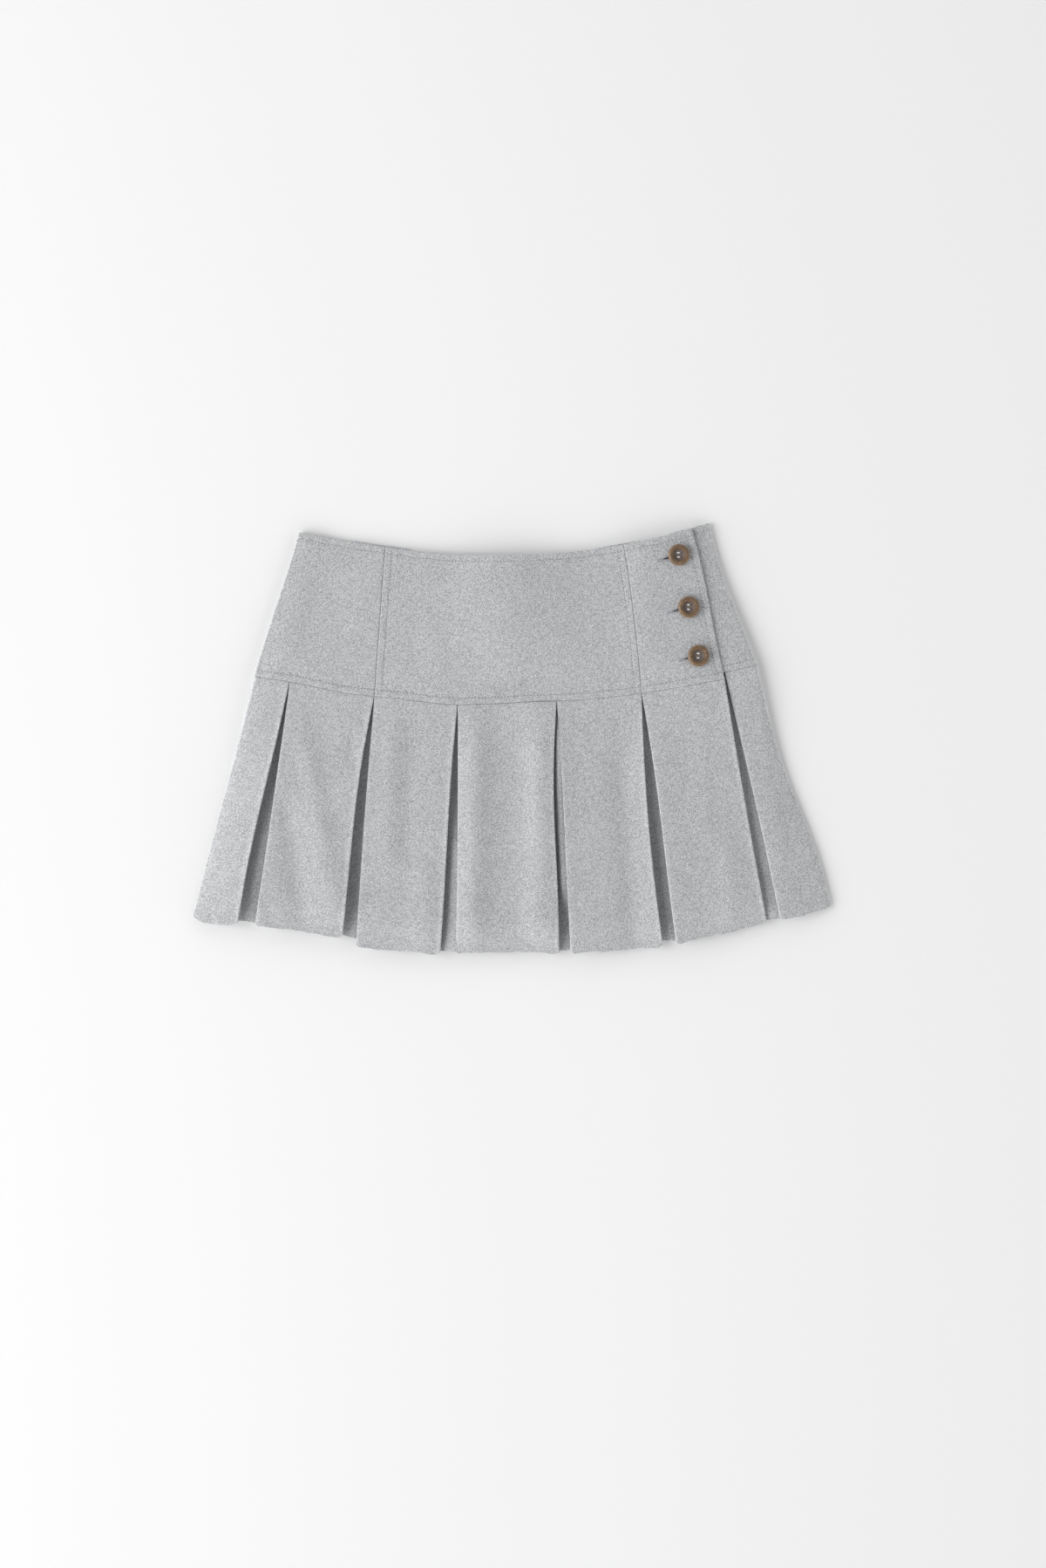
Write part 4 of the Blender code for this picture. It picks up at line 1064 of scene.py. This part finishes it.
# ---------------------------------------------------------------- buttonholes
# Worked by machine through the placket: a slit that opens towards the button's shank, edged with close purl
# stitches in tonal thread and ended by a bar tack.
Slit = namedtuple("Slit", "reach tilt")                # from the button's centre to the far end, and radians
SLITS = (Slit(14.9, 0.26), Slit(15.0, 0.25), Slit(13.6, 0.24))
SLIT_SHAPE = ((0.0, 0.4), (5.5, 2.3), (16.0, 2.3))     # along it from the far end, and its width there
CUT_FROM, CUT_TO = -2.0, 14.0                          # heights that the cut passes right through
PURL = Stitch(1.248, 0.4, 0.1, 9.0, 0.0, 0.0)
PURL_REACH, PURL_PITCH, PURL_CLEAR = 1.3, 0.55, 0.1    # out from the slit's edge, along it, and clear of it
PURL_BEYOND, PURL_TO = 4.4, 6.5                        # it starts beyond the slit's end, and how far it goes
BAR_TACK, BAR_HALF = (-0.9, -0.5, -0.1), 1.4
button_boxes = [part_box(f"button_{number}") for number in (1, 2, 3)]
BUTTON_CENTRES = [((low[0] + high[0]) / 2 / MM, (low[1] + high[1]) / 2 / MM) for low, high in button_boxes]


def slit_frame(number):
    """A slit's far end in plan, and the directions along it to the button and across it."""
    tilt = SLITS[number].tilt
    along = np.array([math.cos(tilt), math.sin(tilt)])
    across = np.array([-along[1], along[0]])
    return np.array(BUTTON_CENTRES[number]) - along * SLITS[number].reach, along, across


placket_points, placket_normals = [part.reshape(-1, 3) for part in surfaces["button_placket"]]


def on_placket(spots):
    """Points on the placket's face at places in plan, with their normals."""
    found = [int(np.argmin(np.linalg.norm(placket_points[:, :2] - spot, axis=1))) for spot in spots]
    return np.column_stack([spots, placket_points[found, 2]]), placket_normals[found]


def slit_width(place):
    return np.interp(place, *np.array(SLIT_SHAPE).T)


def cut_out(piece, cutter):
    """Cuts a shape out of a piece, and deletes the shape."""
    cut = piece.modifiers.new(cutter.name, "BOOLEAN")
    cut.operation, cut.solver, cut.object = "DIFFERENCE", "EXACT", cutter
    bpy.ops.object.select_all(action="DESELECT")
    piece.select_set(True)
    bpy.context.view_layer.objects.active = piece
    bpy.ops.object.modifier_apply(modifier=cut.name)
    bpy.data.objects.remove(cutter)


for number in range(len(SLITS)):
    end, along, across = slit_frame(number)
    rim = [end + along * place - across * width / 2 for place, width in SLIT_SHAPE]
    rim += [end + along * place + across * width / 2 for place, width in SLIT_SHAPE[::-1]]
    count = len(rim)
    points = [(x * MM, y * MM, z * MM) for z in (CUT_FROM, CUT_TO) for x, y in rim]
    around = [(i, (i + 1) % count, count + (i + 1) % count, count + i) for i in range(count)]
    shape = bpy.data.meshes.new("slit")
    shape.from_pydata(points, [], around + [tuple(range(count))[::-1], tuple(range(count, 2 * count))])
    cut_out(placket, linked("slit", shape))

lilac_thread = sewing_thread("lilac grey polyester thread", "8F8B96", "BDBAC4")
for number in range(len(SLITS)):
    end, along, across = slit_frame(number)
    runs = []
    for side in (-1, 1):
        for step in np.arange(-PURL_BEYOND, PURL_TO, PURL_PITCH):
            edge = (slit_width(step) / 2 if step > 0 else 0.0) + PURL_CLEAR
            reaches = [edge + PURL_REACH * share for share in (0.0, 0.5, 1.0)]
            spots = [end + along * step + across * side * reach for reach in reaches]
            runs.append(on_placket(np.array(spots)))
    for step in BAR_TACK:
        spots = [end + along * (step - PURL_BEYOND) + across * reach for reach in (-BAR_HALF, 0.0, BAR_HALF)]
        runs.append(on_placket(np.array(spots)))
    sew(f"buttonhole_{number + 1}_purl", runs, PURL, lilac_thread)


# ---------------------------------------------------------------- buttons
# Three 20 mm buttons of brown horn look: cast polyester, turned with a broad raised rim and a well whose
# darker side is painted shade, and drilled with four holes. They are sewn to the underlap through the
# placket's buttonholes with pale thread.
BUTTON_RINGS = (                         # radius and height, from the foot over the rim and into the well
    (8.2, 0.0), (9.5, 0.4), (9.95, 1.1), (9.95, 1.5), (9.7, 2.1), (9.2, 2.7), (8.5, 3.2), (7.7, 3.5),
    (7.1, 3.5), (6.5, 3.3), (5.9, 2.95), (5.6, 2.9), (5.35, 2.6), (5.15, 1.9), (4.95, 1.4), (4.4, 1.2),
    (2.4, 1.15),
)
WELL_SIDE_PAINTED_SHADE, WELL_FLOOR = (6.0, 5.5), (5.2, 4.7)    # inwards: radii of the side's painted shade, then of the floor's colour
HOLE_SPACING, HOLE_WIDTH = 4.1, 1.8
STREAKS_TURN, STREAKS_STEP = 0.4, 2.1    # radians; the first button's streaks, and each one's after it
STRAND = 0.5
STRAND_END, STRAND_SIDE, STRAND_DIP, STRAND_ARCH = 1.4, 1.35, 1.0, 1.1
STRAND_PITCH, STRAND_HEIGHT, STRAND_STEP = 0.42, 1.35, 0.12    # three side by side, the middle one highest
SHANK_RADIUS, SHANK_TOP = 1.0, 0.2
UNDERLAP_TOP = 4.8                       # the shank of thread starts in the underlap


def horn(name):
    """Horn-look polyester: drawn-out pale and dark brown streaks, satin, and dull in the well, whose dark
    side is painted shade.
    """
    made, tree, shader = new_material(name)
    place = add(tree, "UVMap", uv_map="turning").outputs["UV"]
    drawn = add(tree, "Mapping", {"Vector": place, "Scale": (0.3, 0.12, 1.0),
                                  "Rotation": (0.0, 0.0, 0.6)}).outputs[0]
    streaks = {"Vector": drawn, "Scale": 1.2, "Detail": 3.0, "Distortion": 1.2}
    streak = add(tree, "TexNoise", streaks).outputs[0]
    ramp = add(tree, "ValToRGB", {0: streak})
    for element, position, shade in zip(ramp.color_ramp.elements, (0.25, 0.75), ("56422F", "80664C")):
        element.position, element.color = position, linear(shade)
    from_middle = add(tree, "VectorMath", {0: place}, operation="LENGTH").outputs["Value"]
    shade = ramp.outputs[0]
    # the dark brown ring on the well's side is painted shade; the floor's dull grey brown is its own colour
    for (outside, inside), most, colour in ((WELL_SIDE_PAINTED_SHADE, 0.8, "50382A"), (WELL_FLOOR, 0.9, "81766F")):
        share = add(tree, "MapRange", {0: from_middle, 1: outside, 2: inside, 3: 0.0, 4: most}).outputs[0]
        shade = add(tree, "Mix", {0: share, 6: shade, 7: linear(colour)}, data_type="RGBA").outputs[2]
    tree.links.new(shade, shader.inputs["Base Color"])
    shader.inputs["Roughness"].default_value = 0.5
    return made


horn_look = horn("brown horn polyester")


def button_form():
    """One button standing on the origin, turned ring by ring from a disc, with its four holes."""
    bpy.ops.mesh.primitive_circle_add(vertices=64, radius=BUTTON_RINGS[0][0] * MM, fill_type="NGON",
                                      location=(0, 0, 0))
    button = bpy.context.object
    bpy.ops.object.mode_set(mode="EDIT")
    bpy.ops.mesh.select_all(action="SELECT")
    for (last, below), (radius, height) in zip(BUTTON_RINGS, BUTTON_RINGS[1:]):
        bpy.ops.mesh.extrude_region_move(TRANSFORM_OT_translate={"value": (0, 0, (height - below) * MM)})
        bpy.ops.transform.resize(value=(radius / last, radius / last, 1.0))
    bpy.ops.mesh.select_all(action="SELECT")
    bpy.ops.mesh.normals_make_consistent(inside=False)
    bpy.ops.object.mode_set(mode="OBJECT")
    for x in (-1, 1):
        for y in (-1, 1):
            spot = (x * HOLE_SPACING / 2 * MM, y * HOLE_SPACING / 2 * MM, 2 * MM)
            bpy.ops.mesh.primitive_cylinder_add(vertices=20, radius=HOLE_WIDTH / 2 * MM, depth=8 * MM,
                                                location=spot)
            cut_out(button, bpy.context.object)
    bpy.ops.object.shade_smooth_by_angle(angle=math.radians(35))
    button.data.materials.clear()
    button.data.materials.append(horn_look)
    return button


def strand_form():
    """One strand of sewing thread, arched from the left holes to the right ones."""
    bpy.ops.curve.primitive_bezier_curve_add(location=(0, 0, 0))
    strand = bpy.context.object
    for point, side in zip(strand.data.splines[0].bezier_points, (-1, 1)):
        point.co = (side * STRAND_END * MM, 0, -STRAND_DIP * MM)
        point.handle_left = (side * STRAND_SIDE * MM, 0, STRAND_ARCH * MM * side)
        point.handle_right = (side * STRAND_SIDE * MM, 0, -STRAND_ARCH * MM * side)
    strand.data.bevel_depth = STRAND / 2 * MM
    strand.data.bevel_resolution = 2
    strand.data.resolution_u = 10
    strand.data.use_fill_caps = True
    bpy.ops.object.convert(target="MESH")
    return bpy.context.object


def placed(form, name, offset, turn=0.0):
    """A copy of a form with its own mesh, moved by an offset in millimetres, and its streaks turned."""
    mesh = form.data.copy()
    if turn:
        layer = mesh.uv_layers.new(name="turning")
        for loop in mesh.loops:
            x, y, _ = mesh.vertices[loop.vertex_index].co / MM
            layer.data[loop.index].uv = (x * math.cos(turn) - y * math.sin(turn),
                                         x * math.sin(turn) + y * math.cos(turn))
    mesh.transform(Matrix.Translation(Vector(offset) * MM))
    return linked(name, mesh)


button_master, strand_master = button_form(), strand_form()
pale_thread = sewing_thread("pale polyester thread", "DAD4D6", "FBF8F8")
strand_master.data.materials.append(pale_thread)
for number, (low, high) in enumerate(button_boxes):
    x, y = BUTTON_CENTRES[number]
    foot = low[2] / MM
    turn = STREAKS_TURN + STREAKS_STEP * number
    button = placed(button_master, f"horn_button_{number + 1}", (x, y, foot), turn)
    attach(button, "root")
    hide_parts(f"button_{number + 1}")
    strands = []
    for row in (-1, 1):
        for place in (-1, 0, 1):
            height = foot + STRAND_HEIGHT - STRAND_STEP * abs(place)
            spot = (x, y + row * HOLE_SPACING / 2 + place * STRAND_PITCH, height)
            strands.append(placed(strand_master, "strand", spot))
    top = foot + SHANK_TOP
    middle = (x * MM, y * MM, (top + UNDERLAP_TOP) / 2 * MM)
    bpy.ops.mesh.primitive_cylinder_add(vertices=16, radius=SHANK_RADIUS * MM,
                                        depth=(top - UNDERLAP_TOP) * MM, location=middle)
    shank = bpy.context.object
    bpy.ops.object.transform_apply()
    shank.data.materials.append(pale_thread)
    bpy.ops.object.select_all(action="DESELECT")
    for strand in [shank, *strands]:
        strand.select_set(True)
    bpy.context.view_layer.objects.active = strands[0]
    bpy.ops.object.join()
    sewn = bpy.context.object
    sewn.name = f"button_{number + 1}_thread"
    bpy.ops.object.shade_smooth()
    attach(sewn, "root")
for master in (button_master, strand_master):
    bpy.data.objects.remove(master)
bpy.ops.object.select_all(action="DESELECT")


# ---------------------------------------------------------------- floor, light and camera
# A plain pale table top in a white studio that is brightest at its horizon, a wide soft window low at the
# left with a weak reflector across from it, and a camera straight above.
WHITE = (1.0, 1.0, 1.0)
bpy.ops.mesh.primitive_plane_add(size=8.0, location=(0.0, 0.0, -0.0002))
floor = bpy.context.object
floor.name = "floor"
floor_paint, tree, shader = new_material("matt white paint")      # it scatters all light, with no gloss
shader.inputs["Base Color"].default_value = linear("F0F0F0")
shader.inputs["Roughness"].default_value = 0.9
floor.data.materials.append(floor_paint)
floor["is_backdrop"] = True

world = bpy.data.worlds.new("studio")
bpy.context.scene.world = world
world.use_nodes = True
tree = world.node_tree
towards = add(tree, "TexCoord").outputs["Generated"]
upwards = add(tree, "SeparateXYZ", {0: towards}).outputs["Z"]
horizon = {0: upwards, 1: 0.15, 2: 0.7, 3: 2.68, 4: 0.17}
walls = add(tree, "MapRange", horizon, interpolation_type="SMOOTHSTEP").outputs[0]
brighter = {0: towards, 1: (-0.1, -0.2, 0.0)}
side = add(tree, "VectorMath", brighter, operation="DOT_PRODUCT").outputs["Value"]
around = add(tree, "Math", {0: side, 1: 1.0}, operation="ADD").outputs[0]
walls = add(tree, "Math", {0: walls, 1: around}, operation="MULTIPLY").outputs[0]
tree.links.new(walls, tree.nodes["Background"].inputs["Strength"])
tree.nodes["Background"].inputs["Color"].default_value = (*WHITE, 1.0)


def area_light(name, place, width, height, power):
    """A white light at a place, turned to the skirt."""
    bpy.ops.object.light_add(type="AREA", location=place)
    light = bpy.context.object
    light.name = name
    light.data.shape = "RECTANGLE"
    light.data.size, light.data.size_y = width, height
    light.data.energy = power
    light.data.color = WHITE
    x, y, z = place
    light.rotation_euler = (math.atan2(math.hypot(x, y), z), 0.0, math.atan2(-y, -x) - math.pi / 2)


area_light("window", (-3.9, -0.65, 2.05), 4.4, 3.1, 186.0)
area_light("reflector", (2.6, -0.3, 0.36), 2.0, 0.6, 8.0)

CAMERA_PLACE = (0.0088, -0.0416, 2.004)   # above the photograph's middle; 0.8 mm a pixel at the cloth's face
bpy.ops.object.camera_add(location=CAMERA_PLACE, rotation=(0.0, 0.0, 0.0))
camera = bpy.context.object
camera.data.lens = 50.0
camera.data.sensor_width = 36.0
bpy.context.scene.camera = camera
bpy.context.scene.view_settings.view_transform = "Standard"

low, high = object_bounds()
